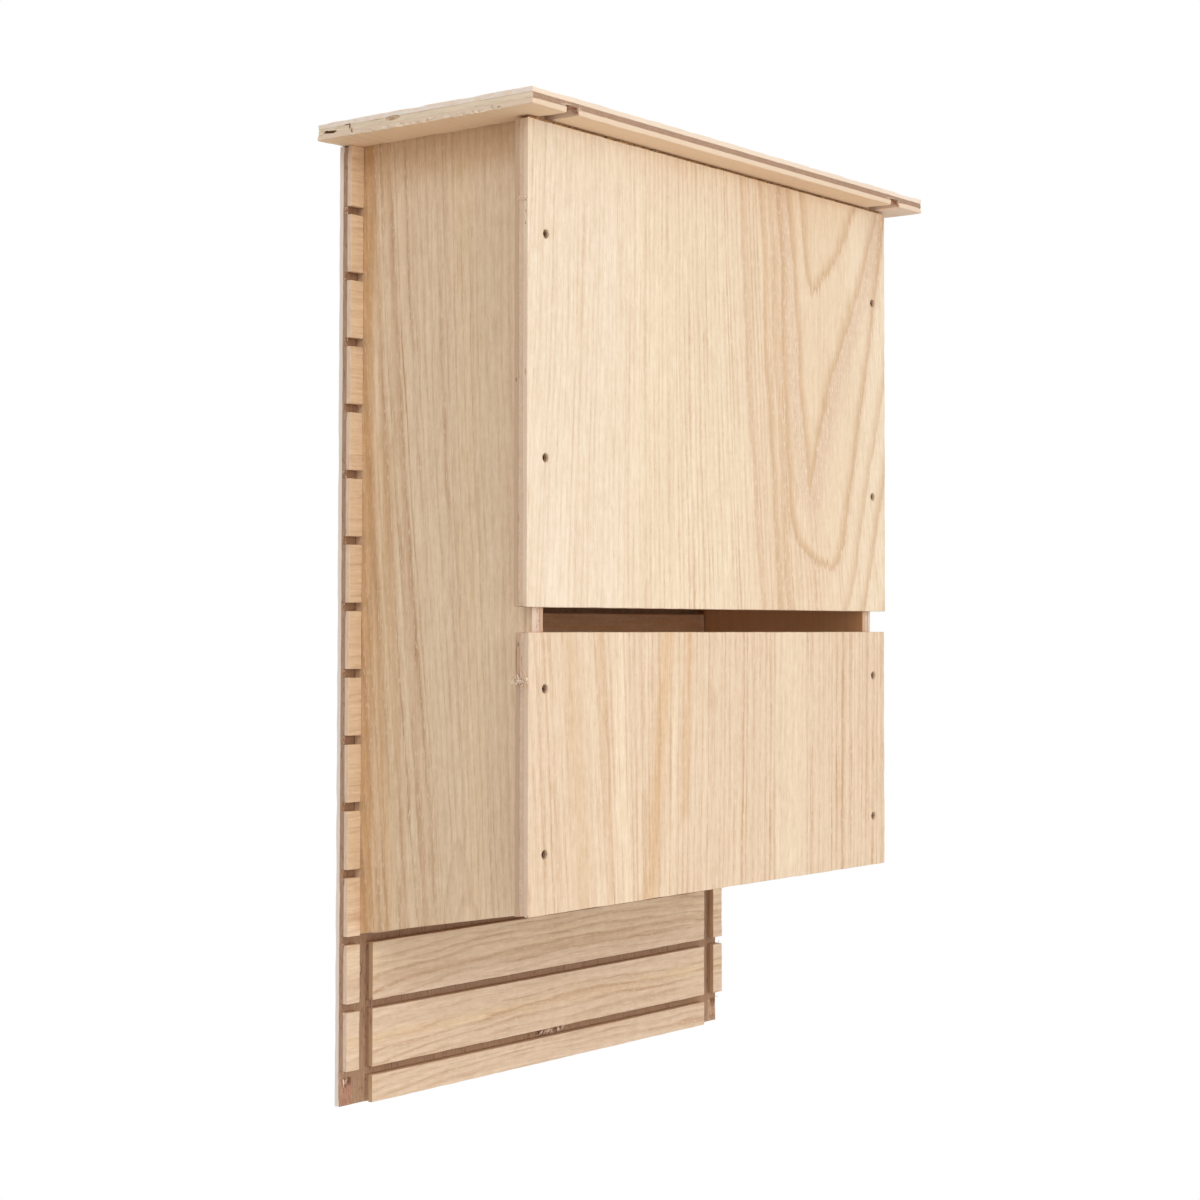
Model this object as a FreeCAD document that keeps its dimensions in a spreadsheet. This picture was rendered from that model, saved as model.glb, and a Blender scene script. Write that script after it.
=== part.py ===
import FreeCAD, Part
import os
import Sketcher

# Bat box of plywood boards, dadoed together and held with small screws.
# X runs along the width, Y from the front to the wall, Z upwards.
# The wall lies in the plane Y = 0, and the origin is midway between the two wall screws it hangs on.
# Left and right are as seen from the front, so left is negative X.

doc = FreeCAD.newDocument("bat_box")

# Driving sizes in millimetres. Heights are counted from the bottom edge of the back board.
SIZES = [
    ("ply", 9.5),
    ("board_height", 551.0),
    ("board_width", 369.4),
    ("body_width", 348.4),
    ("body_depth", 142.4),
    ("dado_width", 10.5),
    ("back_dado_depth", 5.5),
    ("front_dado_depth", 4.3),
    ("groove_count", 14),
    ("groove_pitch", 38.1),
    ("groove_width", 4.8),
    ("lowest_groove", 18.0),
    ("upper_front_width", 370.2),
    ("upper_front_top", 549.5),
    ("upper_front_bottom", 283.9),
    ("lower_front_width", 367.0),
    ("lower_front_top", 270.4),
    ("lower_front_bottom", 117.5),
    ("side_bottom_back", 97.6),
    ("side_bottom_front", 118.4),
    ("roof_width", 406.4),
    ("roof_overhang", 18.4),
    ("front_screw_left_1", 487.6),
    ("front_screw_left_2", 365.2),
    ("front_screw_left_3", 239.7),
    ("front_screw_left_4", 150.2),
    ("front_screw_right_1", 488.2),
    ("front_screw_right_2", 359.6),
    ("front_screw_right_3", 241.7),
    ("front_screw_right_4", 149.5),
    ("roof_screw_1", 30.0),
    ("roof_screw_2", 108.0),
    ("head_diameter", 4.8),
    ("head_height", 1.8),
    ("shank_diameter", 3.0),
    ("screw_length", 28.0),
    ("tip_length", 5.0),
    ("drive_width", 1.9),
    ("drive_depth", 1.2),
    ("sink_diameter", 5.0),
    ("front_sink", 3.5),
    ("back_sink", 2.0),
    ("roof_sink", 2.6),
    ("pilot_diameter", 3.1),
    ("pilot_spare", 0.3),
    ("hanger_spacing", 254.0),
    ("hanger_width", 50.0),
    ("hanger_height", 26.0),
    ("hanger_thickness", 1.6),
    ("hanger_corner", 6.0),
    ("hanger_gap", 0.2),
    ("keyhole_entry", 10.0),
    ("keyhole_slot", 5.0),
    ("keyhole_drop", 11.0),
    ("seat_rise", 6.0),
    ("pocket_width", 13.0),
    ("pocket_height", 23.0),
    ("pocket_depth", 6.0),
    ("hanger_screw_spread", 36.0),
    ("small_head_diameter", 5.2),
    ("small_head_height", 1.2),
    ("small_shank_diameter", 2.8),
    ("small_screw_length", 7.5),
    ("small_tip_length", 2.0),
    ("small_hole_diameter", 2.9),
    ("small_drive_depth", 0.9),
]

sheet = doc.addObject("Spreadsheet::Sheet", "Sizes")
for row, (alias, value) in enumerate(SIZES, start=1):
    sheet.set("A%d" % row, alias)
    sheet.set("B%d" % row, str(value))
    sheet.setAlias("B%d" % row, alias)
doc.recompute()

# Places that several boards share, as expressions on the sheet.
HALF_BODY = "Sizes.body_width / 2"
HALF_BOARD = "Sizes.board_width / 2"
BACK_FACE_OF_CHAMBER = "-Sizes.ply"
SIDE_BACK_EDGE = "-(Sizes.ply - Sizes.back_dado_depth)"
SIDE_FRONT_EDGE = "-(Sizes.body_depth - Sizes.ply + Sizes.front_dado_depth)"
SIDE_CENTRE = "(Sizes.body_width - Sizes.ply) / 2"
ROOF_TOP = "Sizes.board_height + Sizes.ply"
HANGER_CENTRE = "(Sizes.lowest_groove + (Sizes.groove_count - 1.5) * Sizes.groove_pitch)"
HANG_LINE = HANGER_CENTRE + " + Sizes.seat_rise"

SIDES = {"left": -1, "right": 1}

# Screws down each side of the box, numbered from the top. The back screws stand halfway between two
# grooves, so their heights are counted in groove pitches.
FRONT_SCREWS = {"upper": [1, 2], "lower": [3, 4]}
BACK_SCREW_PITCHES = [11.5, 7.5, 3.5]
ROOF_SCREWS = [1, 2]

# The largest difference between two lengths, in millimetres, that is only rounding.
ROUNDING = 1e-6

# The least volume that a cut has to take away, in cubic millimetres.
LEAST_CUT = 0.1

pieces = []


def new_body(name):
    """Start a body whose local height zero is the bottom edge of the back board."""
    body = doc.addObject("PartDesign::Body", name)
    body.Label = name
    body.setExpression("Placement.Base.z", "-(%s)" % HANG_LINE)
    pieces.append(body)
    return body


def new_sketch(body, name, plane, offset="0"):
    """Add a sketch on one of the body's own origin planes, moved out along the plane's normal."""
    sketch = body.newObject("Sketcher::SketchObject", name)
    support = [item for item in body.Origin.OriginFeatures if item.Role == plane][0]
    sketch.AttachmentSupport = [(support, "")]
    sketch.MapMode = "FlatFace"
    sketch.setExpression("AttachmentOffset.Base.z", offset)
    return sketch


def place_point(sketch, element, corner, across, up):
    """Hold one point of a sketch at two expressions measured from the sketch's origin."""
    for kind, text in (("DistanceX", across), ("DistanceY", up)):
        value = float(sketch.evalExpression(text))
        index = sketch.addConstraint(Sketcher.Constraint(kind, -1, 1, element, corner, value))
        sketch.setExpression("Constraints[%d]" % index, text)


def draw_outline(sketch, points):
    """Draw a closed outline of straight edges through points given as pairs of expressions."""
    vectors = []
    for across, up in points:
        x = float(sketch.evalExpression(across))
        y = float(sketch.evalExpression(up))
        vectors.append(FreeCAD.Vector(x, y, 0))
    first = sketch.GeometryCount
    count = len(points)
    for k in range(count):
        sketch.addGeometry(Part.LineSegment(vectors[k], vectors[(k + 1) % count]))
    for k in range(count):
        following = first + (k + 1) % count
        sketch.addConstraint(Sketcher.Constraint("Coincident", first + k, 2, following, 1))
    for k, (across, up) in enumerate(points):
        place_point(sketch, first + k, 1, across, up)


def draw_box(sketch, left, right, bottom, top):
    """Draw a rectangle whose four edges lie at the given expressions."""
    draw_outline(sketch, [(left, bottom), (right, bottom), (right, top), (left, top)])


def draw_circle(sketch, across, up, diameter):
    """Draw a circle with its centre and diameter given as expressions."""
    x = float(sketch.evalExpression(across))
    y = float(sketch.evalExpression(up))
    size = float(sketch.evalExpression(diameter))
    circle = Part.Circle(FreeCAD.Vector(x, y, 0), FreeCAD.Vector(0, 0, 1), size / 2)
    element = sketch.addGeometry(circle)
    place_point(sketch, element, 3, across, up)
    index = sketch.addConstraint(Sketcher.Constraint("Diameter", element, size))
    sketch.setExpression("Constraints[%d]" % index, diameter)


def pad(body, sketch, length):
    """Raise a sketch into a solid along the sketch's normal."""
    feature = body.newObject("PartDesign::Pad", sketch.Name + "_pad")
    feature.Profile = sketch
    feature.setExpression("Length", length)
    doc.recompute()
    return feature


def pocket(body, sketch, depth, along_normal=False):
    """Cut a sketch into the body, against the sketch's normal unless told otherwise."""
    before = body.Shape.Volume
    feature = body.newObject("PartDesign::Pocket", sketch.Name + "_cut")
    feature.Profile = sketch
    feature.Reversed = along_normal
    feature.setExpression("Length", depth)
    doc.recompute()
    if body.Shape.Volume > before - LEAST_CUT:
        raise RuntimeError("%s cuts nothing from %s" % (sketch.Name, body.Name))
    return feature


def soften(body, name, kind, size, chosen):
    """Round or chamfer those straight or round edges of the body that a test picks out."""
    names = []
    for number, edge in enumerate(body.Shape.Edges, start=1):
        if chosen(edge):
            names.append("Edge%d" % number)
    base = body.Tip
    feature = body.newObject("PartDesign::" + kind, name)
    feature.Base = (base, names)
    feature.setExpression("Radius" if kind == "Fillet" else "Size", size)
    body.Tip = feature
    doc.recompute()
    return feature


def same(first, second):
    """Tell whether two lengths are the same but for rounding."""
    return abs(first - second) < ROUNDING


def runs_inwards(edge, depth):
    """Tell whether an edge is straight, square to the wall face and as long as the given depth."""
    inwards = abs(edge.Vertexes[0].Point.y - edge.Vertexes[-1].Point.y)
    return edge.Curve.TypeId == "Part::GeomLine" and same(inwards, depth) and same(edge.Length, depth)


def rings_wall_face(edge, radius):
    """Tell whether an edge is a full circle of the given radius in the wall face."""
    return (edge.Curve.TypeId == "Part::GeomCircle" and len(edge.Vertexes) == 1
            and same(edge.Curve.Radius, radius) and same(edge.Curve.Center.y, 0))


def repeat_up(body, feature, length, count):
    """Repeat a cut up the board in even steps."""
    pattern = body.newObject("PartDesign::LinearPattern", feature.Name + "_row")
    pattern.Originals = [feature]
    axis = [item for item in body.Origin.OriginFeatures if item.Role == "Z_Axis"][0]
    pattern.Direction = (axis, [""])
    pattern.setExpression("Length", length)
    pattern.setExpression("Occurrences", count)
    body.Tip = pattern
    doc.recompute()
    return pattern


def signed(sign, text):
    """Mirror an expression to the left side of the box."""
    return text if sign > 0 else "-(%s)" % text


def drill(body, name, plane, offset, centres, diameter, depth, along_normal=False):
    """Sink a group of round holes of one diameter and depth."""
    sketch = new_sketch(body, name, plane, offset)
    for across, up in centres:
        draw_circle(sketch, across, up, diameter)
    return pocket(body, sketch, depth, along_normal)


def side_dados(body, name, plane, offset, bottom, top, depth, along_normal=False):
    """Cut the two straight channels that the edges of the side panels stand in."""
    sketch = new_sketch(body, name, plane, offset)
    inner = HALF_BODY + " - Sizes.dado_width"
    draw_box(sketch, "-(%s)" % HALF_BODY, "-(%s)" % inner, bottom, top)
    draw_box(sketch, inner, HALF_BODY, bottom, top)
    return pocket(body, sketch, depth, along_normal)


def front_screw_height(side, number):
    """Height of a front screw on one side of the box."""
    return "Sizes.front_screw_%s_%d" % (side, number)


def back_screw_height(pitches):
    """Height of a back screw, so many groove pitches above the lowest groove."""
    return "Sizes.lowest_groove + %s * Sizes.groove_pitch" % pitches


def roof_screw_place(number):
    """Place of a roof screw along Y, in from the wall face."""
    return "-Sizes.roof_screw_%d" % number


# Back board: the tall board that is screwed to the wall side of the box and runs on below it as the
# landing. Its inner face has fourteen level grooves for the bats to grip, and two upright dados.
back = new_body("back_board")
outline = new_sketch(back, "back_outline", "XZ_Plane")
draw_box(outline, "-(%s)" % HALF_BOARD, HALF_BOARD, "0", "Sizes.board_height")
pad(back, outline, "Sizes.ply")
side_dados(back, "back_dados", "XZ_Plane", "Sizes.ply", "0", "Sizes.board_height", "Sizes.back_dado_depth")

# The corner blocks under the lowest groove have broken away down to the depth of the dados.
corners = new_sketch(back, "back_corners", "XZ_Plane", "Sizes.ply")
groove_foot = "Sizes.lowest_groove - Sizes.groove_width / 2"
draw_box(corners, "-(%s)" % HALF_BOARD, "-(%s)" % HALF_BODY, "0", groove_foot)
draw_box(corners, HALF_BODY, HALF_BOARD, "0", groove_foot)
pocket(back, corners, "Sizes.back_dado_depth")

# Screw holes from the wall side, sunk for the heads, and the two pockets of the hangers.
back_holes = []
for pitches in BACK_SCREW_PITCHES:
    for sign in SIDES.values():
        back_holes.append((signed(sign, SIDE_CENTRE), back_screw_height(pitches)))
drill(back, "back_sinks", "XZ_Plane", "0", back_holes, "Sizes.sink_diameter", "Sizes.back_sink", True)
drill(back, "back_holes", "XZ_Plane", "0", back_holes, "Sizes.pilot_diameter", "Sizes.ply", True)

seats = new_sketch(back, "hanger_seats", "XZ_Plane", "0")
pockets = new_sketch(back, "head_pockets", "XZ_Plane", "0")
half_wide = "(Sizes.hanger_width / 2 + Sizes.hanger_gap)"
half_high = "(Sizes.hanger_height / 2 + Sizes.hanger_gap)"
for sign in SIDES.values():
    middle = signed(sign, "Sizes.hanger_spacing / 2")
    draw_box(seats, middle + " - " + half_wide, middle + " + " + half_wide,
             HANGER_CENTRE + " - " + half_high, HANGER_CENTRE + " + " + half_high)
    draw_box(pockets, middle + " - Sizes.pocket_width / 2", middle + " + Sizes.pocket_width / 2",
             HANGER_CENTRE + " - Sizes.pocket_height / 2", HANGER_CENTRE + " + Sizes.pocket_height / 2")
pocket(back, seats, "Sizes.hanger_thickness", True)
soften(back, "seat_corners", "Fillet", "Sizes.hanger_corner + Sizes.hanger_gap",
       lambda edge: runs_inwards(edge, sheet.hanger_thickness))
pocket(back, pockets, "Sizes.pocket_depth", True)

small_holes = []
for sign in SIDES.values():
    for end in SIDES.values():
        middle = signed(sign, "Sizes.hanger_spacing / 2")
        small_holes.append((middle + " + " + signed(end, "Sizes.hanger_screw_spread / 2"), HANGER_CENTRE))
drill(back, "small_pilots", "XZ_Plane", "0", small_holes, "Sizes.small_hole_diameter",
      "Sizes.small_screw_length + Sizes.pilot_spare", True)

groove = new_sketch(back, "groove", "XZ_Plane", "Sizes.ply")
groove_head = "Sizes.lowest_groove + Sizes.groove_width / 2"
draw_box(groove, "-(%s)" % HALF_BOARD, HALF_BOARD, groove_foot, groove_head)
groove_cut = pocket(back, groove, "Sizes.back_dado_depth")
repeat_up(back, groove_cut, "(Sizes.groove_count - 1) * Sizes.groove_pitch", "Sizes.groove_count")

# Side panels: upright boards whose edges stand in the dados of the back board, the fronts and the
# roof. Their lower edge falls towards the wall.
side_pilot_depth = "Sizes.screw_length - Sizes.head_height + Sizes.pilot_spare"
for side, sign in SIDES.items():
    panel = new_body("side_panel_" + side)
    face = HALF_BODY + " - Sizes.ply" if sign > 0 else "-(%s)" % HALF_BODY
    outline = new_sketch(panel, side + "_outline", "YZ_Plane", face)
    fall = "(Sizes.side_bottom_front - Sizes.side_bottom_back) / (%s - (%s))" % (
        BACK_FACE_OF_CHAMBER, SIDE_FRONT_EDGE)
    low_back = "Sizes.side_bottom_back - %s * Sizes.back_dado_depth" % fall
    top = "Sizes.board_height + Sizes.front_dado_depth"
    draw_outline(outline, [
        (SIDE_BACK_EDGE, low_back),
        (SIDE_BACK_EDGE, top),
        (SIDE_FRONT_EDGE, top),
        (SIDE_FRONT_EDGE, "Sizes.side_bottom_front"),
    ])
    pad(panel, outline, "Sizes.ply")
    middle = signed(sign, SIDE_CENTRE)
    numbers = FRONT_SCREWS["upper"] + FRONT_SCREWS["lower"]
    drill(panel, side + "_front_pilots", "XZ_Plane", "-(%s)" % SIDE_FRONT_EDGE,
          [(middle, front_screw_height(side, number)) for number in numbers], "Sizes.pilot_diameter",
          side_pilot_depth + " - (Sizes.ply - Sizes.front_dado_depth - Sizes.front_sink)")
    drill(panel, side + "_back_pilots", "XZ_Plane", "-(%s)" % SIDE_BACK_EDGE,
          [(middle, back_screw_height(pitches)) for pitches in BACK_SCREW_PITCHES], "Sizes.pilot_diameter",
          side_pilot_depth + " - (Sizes.ply - Sizes.back_dado_depth - Sizes.back_sink)", True)
    drill(panel, side + "_roof_pilots", "XY_Plane", top,
          [(middle, roof_screw_place(number)) for number in ROOF_SCREWS], "Sizes.pilot_diameter",
          side_pilot_depth + " - (Sizes.ply - Sizes.front_dado_depth - Sizes.roof_sink)")

# Fronts: two boards that stand past the sides, with the vent slot between them.
front_back = "Sizes.body_depth - Sizes.ply"
for level in ("upper", "lower"):
    front = new_body("front_panel_" + level)
    low = "Sizes.%s_front_bottom" % level
    high = "Sizes.%s_front_top" % level
    half = "Sizes.%s_front_width / 2" % level
    outline = new_sketch(front, level + "_outline", "XZ_Plane", front_back)
    draw_box(outline, "-(%s)" % half, half, low, high)
    pad(front, outline, "Sizes.ply")
    side_dados(front, level + "_dados", "XZ_Plane", front_back, low, high, "Sizes.front_dado_depth", True)
    centres = []
    for side, sign in SIDES.items():
        for number in FRONT_SCREWS[level]:
            centres.append((signed(sign, SIDE_CENTRE), front_screw_height(side, number)))
    drill(front, level + "_sinks", "XZ_Plane", "Sizes.body_depth", centres,
          "Sizes.sink_diameter", "Sizes.front_sink")
    drill(front, level + "_holes", "XZ_Plane", "Sizes.body_depth", centres,
          "Sizes.pilot_diameter", "Sizes.ply")

# Roof: one level board over the box, flush with the wall side and standing out on the other three.
# Its dados run out through the front edge.
roof = new_body("roof_board")
outline = new_sketch(roof, "roof_outline", "XY_Plane", "Sizes.board_height")
roof_front = "-(Sizes.body_depth + Sizes.roof_overhang)"
draw_box(outline, "-Sizes.roof_width / 2", "Sizes.roof_width / 2", roof_front, "0")
pad(roof, outline, "Sizes.ply")
side_dados(roof, "roof_dados", "XY_Plane", "Sizes.board_height", roof_front, "0",
           "Sizes.front_dado_depth", True)
roof_holes = []
for sign in SIDES.values():
    for number in ROOF_SCREWS:
        roof_holes.append((signed(sign, SIDE_CENTRE), roof_screw_place(number)))
drill(roof, "roof_sinks", "XY_Plane", ROOF_TOP, roof_holes, "Sizes.sink_diameter", "Sizes.roof_sink")
drill(roof, "roof_holes", "XY_Plane", ROOF_TOP, roof_holes, "Sizes.pilot_diameter", "Sizes.ply")


def turn_screw(name, size, bevel_head):
    """Turn a screw that stands on its tip, with the top of its head at height zero."""
    body = doc.addObject("PartDesign::Body", name)
    body.Label = name
    profile = new_sketch(body, name + "_profile", "XZ_Plane")
    head = "Sizes.%shead_diameter / 2" % size
    shank = "Sizes.%sshank_diameter / 2" % size
    under = "-Sizes.%shead_height" % size
    end = "-Sizes.%sscrew_length" % size
    shoulder = end + " + Sizes.%stip_length" % size
    outline_points = [("0", "0"), (head, "0")]
    if not bevel_head:
        outline_points.append((head, under))
    outline_points += [(shank, under), (shank, shoulder), ("0", end)]
    draw_outline(profile, outline_points)
    turned = body.newObject("PartDesign::Revolution", name + "_turned")
    turned.Profile = profile
    turned.ReferenceAxis = (profile, ["V_Axis"])
    turned.Angle = 360
    doc.recompute()
    drive = new_sketch(body, name + "_drive", "XY_Plane")
    half = "Sizes.drive_width / 2"
    draw_box(drive, "-" + half, half, "-" + half, half)
    pocket(body, drive, "Sizes.%sdrive_depth" % size)
    pieces.append(body)
    return body


def set_place(body, x, y, z, axis, degrees):
    """Put a screw at three expressions, turned about one axis from head up."""
    body.Placement.Rotation = FreeCAD.Rotation(FreeCAD.Vector(*axis), degrees)
    body.setExpression("Placement.Base.x", x)
    body.setExpression("Placement.Base.y", y)
    body.setExpression("Placement.Base.z", "%s - (%s)" % (z, HANG_LINE))


# Screws: one small square-drive pattern throughout, its head sunk below the surface.
HEAD_TO_FRONT = ((1, 0, 0), 90)
HEAD_TO_WALL = ((1, 0, 0), -90)
HEAD_UP = ((1, 0, 0), 0)
head_top_front = "-(Sizes.body_depth - Sizes.front_sink + Sizes.head_height)"
head_top_back = "-(Sizes.back_sink - Sizes.head_height)"
head_top_roof = ROOF_TOP + " - (Sizes.roof_sink - Sizes.head_height)"
for side, sign in SIDES.items():
    across = signed(sign, SIDE_CENTRE)
    for number in FRONT_SCREWS["upper"] + FRONT_SCREWS["lower"]:
        screw = turn_screw("front_screw_%s_%d" % (side, number), "", False)
        set_place(screw, across, head_top_front, front_screw_height(side, number), *HEAD_TO_FRONT)
    for number, pitches in enumerate(BACK_SCREW_PITCHES, start=1):
        screw = turn_screw("back_screw_%s_%d" % (side, number), "", False)
        set_place(screw, across, head_top_back, back_screw_height(pitches), *HEAD_TO_WALL)
    for number in ROOF_SCREWS:
        screw = turn_screw("roof_screw_%s_%d" % (side, number), "", False)
        set_place(screw, across, roof_screw_place(number), head_top_roof, *HEAD_UP)

# Hangers: steel keyhole plates let in flush with the wall face, each held by two small screws.
for side, sign in SIDES.items():
    middle = signed(sign, "Sizes.hanger_spacing / 2")
    plate = new_body("hanger_plate_" + side)
    outline = new_sketch(plate, side + "_plate", "XZ_Plane")
    draw_box(outline, middle + " - Sizes.hanger_width / 2", middle + " + Sizes.hanger_width / 2",
             HANGER_CENTRE + " - Sizes.hanger_height / 2", HANGER_CENTRE + " + Sizes.hanger_height / 2")
    pad(plate, outline, "Sizes.hanger_thickness")
    soften(plate, side + "_corners", "Fillet", "Sizes.hanger_corner",
           lambda edge: runs_inwards(edge, sheet.hanger_thickness))
    entry_height = HANG_LINE + " - Sizes.keyhole_drop"
    drill(plate, side + "_entry", "XZ_Plane", "0", [(middle, entry_height)],
          "Sizes.keyhole_entry", "Sizes.hanger_thickness", True)
    slot = new_sketch(plate, side + "_slot", "XZ_Plane")
    draw_box(slot, middle + " - Sizes.keyhole_slot / 2", middle + " + Sizes.keyhole_slot / 2",
             entry_height, HANG_LINE)
    pocket(plate, slot, "Sizes.hanger_thickness", True)
    drill(plate, side + "_seat", "XZ_Plane", "0", [(middle, HANG_LINE)],
          "Sizes.keyhole_slot", "Sizes.hanger_thickness", True)
    ends = [middle + " + " + signed(end, "Sizes.hanger_screw_spread / 2") for end in SIDES.values()]
    drill(plate, side + "_holes", "XZ_Plane", "0", [(end, HANGER_CENTRE) for end in ends],
          "Sizes.small_hole_diameter", "Sizes.hanger_thickness", True)
    soften(plate, side + "_sinks", "Chamfer", "Sizes.small_head_height",
           lambda edge: rings_wall_face(edge, sheet.small_hole_diameter / 2))
    for number, across in enumerate(ends, start=1):
        screw = turn_screw("hanger_screw_%s_%d" % (side, number), "small_", True)
        set_place(screw, across, "0", HANGER_CENTRE, *HEAD_TO_WALL)

doc.recompute()

# Nothing is written unless every object and every solid is sound.
for item in doc.Objects:
    if "Invalid" in item.State or "Error" in item.State:
        raise RuntimeError("%s is in state %s" % (item.Name, item.State))
for body in pieces:
    shape = body.Shape
    if shape.isNull() or not shape.isValid() or len(shape.Solids) != 1:
        raise RuntimeError("%s is not one sound solid" % body.Label)

os.makedirs("parts", exist_ok=True)
for body in pieces:
    body.Shape.exportStep("parts/%s.step" % body.Label)
    box = body.Shape.BoundBox
    print("%-24s volume %9.1f  x %7.1f %7.1f  y %7.1f %7.1f  z %7.1f %7.1f" % (
        body.Label, body.Shape.Volume, box.XMin, box.XMax, box.YMin, box.YMax, box.ZMin, box.ZMax))
print("%d pieces" % len(pieces))
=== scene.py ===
import math
import random

import bmesh
import bpy
import numpy as np
from mathutils import Matrix, Vector, noise


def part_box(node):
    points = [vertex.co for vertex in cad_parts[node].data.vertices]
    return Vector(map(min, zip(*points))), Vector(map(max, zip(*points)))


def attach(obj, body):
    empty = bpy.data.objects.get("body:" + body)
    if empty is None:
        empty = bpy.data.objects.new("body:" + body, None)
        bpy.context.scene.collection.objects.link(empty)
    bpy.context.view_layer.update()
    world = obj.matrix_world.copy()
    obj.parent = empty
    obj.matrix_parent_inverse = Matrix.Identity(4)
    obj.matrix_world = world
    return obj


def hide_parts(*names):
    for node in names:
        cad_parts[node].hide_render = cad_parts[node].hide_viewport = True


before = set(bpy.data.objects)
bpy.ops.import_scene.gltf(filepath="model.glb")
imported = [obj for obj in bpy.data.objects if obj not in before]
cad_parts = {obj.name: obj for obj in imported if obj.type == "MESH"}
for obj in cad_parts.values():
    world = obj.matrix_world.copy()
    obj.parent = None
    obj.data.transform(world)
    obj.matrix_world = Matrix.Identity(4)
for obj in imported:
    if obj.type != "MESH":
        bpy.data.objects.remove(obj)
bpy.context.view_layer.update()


# Back board: the tall board that carries the box and runs on below it as the landing. Three plies
# of ash, face grain level and core upright. Fourteen grooves and two dados are routed into the
# side that looks into the box, and the two corner blocks under the lowest groove have torn away.
board_low, board_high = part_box("back_board")
facet = 0.006
ply_line = 0.0001
core_recess = 0.00022
arris_wear = 0.0003
arris_radius = 0.00035
groove_count = 14
groove_pitch = 0.0381
groove_width = 0.0048
lowest_groove = board_low.z + 0.018
rout_depth = 0.0055
dado_width = 0.0105
body_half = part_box("side_panel_right")[1].x


def saw_lines(start, end, stops, step):
    """Places of lattice lines along one axis: both ends, every stop, and even steps between."""
    marks = sorted({round(stop, 6) for stop in [start, end] + list(stops) if start <= stop <= end})
    lines = [marks[0]]
    for near, far in zip(marks, marks[1:]):
        count = max(1, math.ceil((far - near) / step - 0.01))
        lines += [near + (far - near) * k / count for k in range(1, count + 1)]
    return lines


def carve_board(low, high, cuts, thin):
    """The closed skin of a board of small facets, with box-shaped cuts taken out of it."""
    third = (high[thin] - low[thin]) / 3
    seams = [low[thin] + third * k + shift for k in (1, 2) for shift in (-ply_line, ply_line)]
    lines = []
    for axis in range(3):
        stops = [corner[axis] for cut in cuts for corner in cut]
        if axis == thin:
            lines.append(saw_lines(low[axis], high[axis], stops + seams, high[axis] - low[axis]))
        else:
            lines.append(saw_lines(low[axis], high[axis], stops, facet))
    middles = [(np.array(line[1:]) + np.array(line[:-1])) / 2 for line in lines]
    wood = np.ones([len(middle) for middle in middles], bool)
    for near, far in cuts:
        inside = [(middles[axis] > near[axis]) & (middles[axis] < far[axis]) for axis in range(3)]
        wood &= ~(inside[0][:, None, None] & inside[1][None, :, None] & inside[2][None, None, :])
    padded = np.pad(wood, 1)
    skin = bmesh.new()
    corners = {}

    def corner(key):
        if key not in corners:
            corners[key] = skin.verts.new([lines[axis][key[axis]] for axis in range(3)])
        return corners[key]

    for axis in range(3):
        side, up = (axis + 1) % 3, (axis + 2) % 3
        for outward in (0, 1):
            beside = np.roll(padded, 1 if outward == 0 else -1, axis)[1:-1, 1:-1, 1:-1]
            for cell in np.argwhere(wood & ~beside):
                ring = []
                for step_side, step_up in ((0, 0), (1, 0), (1, 1), (0, 1)):
                    key = list(cell)
                    key[axis] += outward
                    key[side] += step_side
                    key[up] += step_up
                    ring.append(corner(tuple(key)))
                skin.faces.new(ring if outward else ring[::-1])
    count = {vert: padded[key[0]:key[0] + 2, key[1]:key[1] + 2, key[2]:key[2] + 2].sum()
             for key, vert in corners.items()}
    return skin, count


def wear_board(skin, count, low, high, thin, wear=arris_wear, radius=arris_radius):
    """Wear the arrises back, let the middle ply stand back from the sawn edges and round them."""
    skin.normal_update()
    third = (high[thin] - low[thin]) / 3
    moves = {}
    for vert in skin.verts:
        move = Vector((0, 0, 0))
        if count[vert] <= 2:
            rough = noise.noise(vert.co * 90) + 0.6 * noise.noise(vert.co * 310)
            move -= vert.normal * wear * max(0.0, 0.35 + rough)
        depth = vert.co[thin] - low[thin]
        if third < depth < 2 * third:
            for axis in range(3):
                if axis == thin:
                    continue
                for edge, inward in ((low[axis], 1), (high[axis], -1)):
                    if abs(vert.co[axis] - edge) < ply_line:
                        rough = noise.noise(vert.co * 160) + noise.noise(vert.co * 700)
                        move[axis] += inward * core_recess * max(0.2, 1 + rough)
        moves[vert] = move
    for vert, move in moves.items():
        vert.co += move
    sharp = [edge for edge in skin.edges if edge.is_convex and edge.calc_face_angle(0) > 0.9]
    bmesh.ops.bevel(skin, geom=sharp, offset=radius, offset_type="OFFSET", segments=2,
                    profile=0.5, affect="EDGES", clamp_overlap=True)
    for vert in skin.verts:
        vert.co = Vector([min(max(vert.co[axis], low[axis]), high[axis]) for axis in range(3)])


def piece_from(skin, name, finish):
    """Turn a skin into an object of the scene, with its finish."""
    bmesh.ops.recalc_face_normals(skin, faces=skin.faces)
    mesh = bpy.data.meshes.new(name)
    skin.to_mesh(mesh)
    skin.free()
    mesh.materials.append(finish)
    piece = bpy.data.objects.new(name, mesh)
    bpy.context.scene.collection.objects.link(piece)
    return piece


def close_rings(skin, rings):
    """Add a closed skin that runs through rings of points and is capped at both ends."""
    loops = [[skin.verts.new(point) for point in ring] for ring in rings]
    skin.faces.new(loops[0][::-1])
    skin.faces.new(loops[-1])
    for under, over in zip(loops, loops[1:]):
        for k in range(len(under)):
            after = (k + 1) % len(under)
            skin.faces.new((under[k], under[after], over[after], over[k]))


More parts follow.
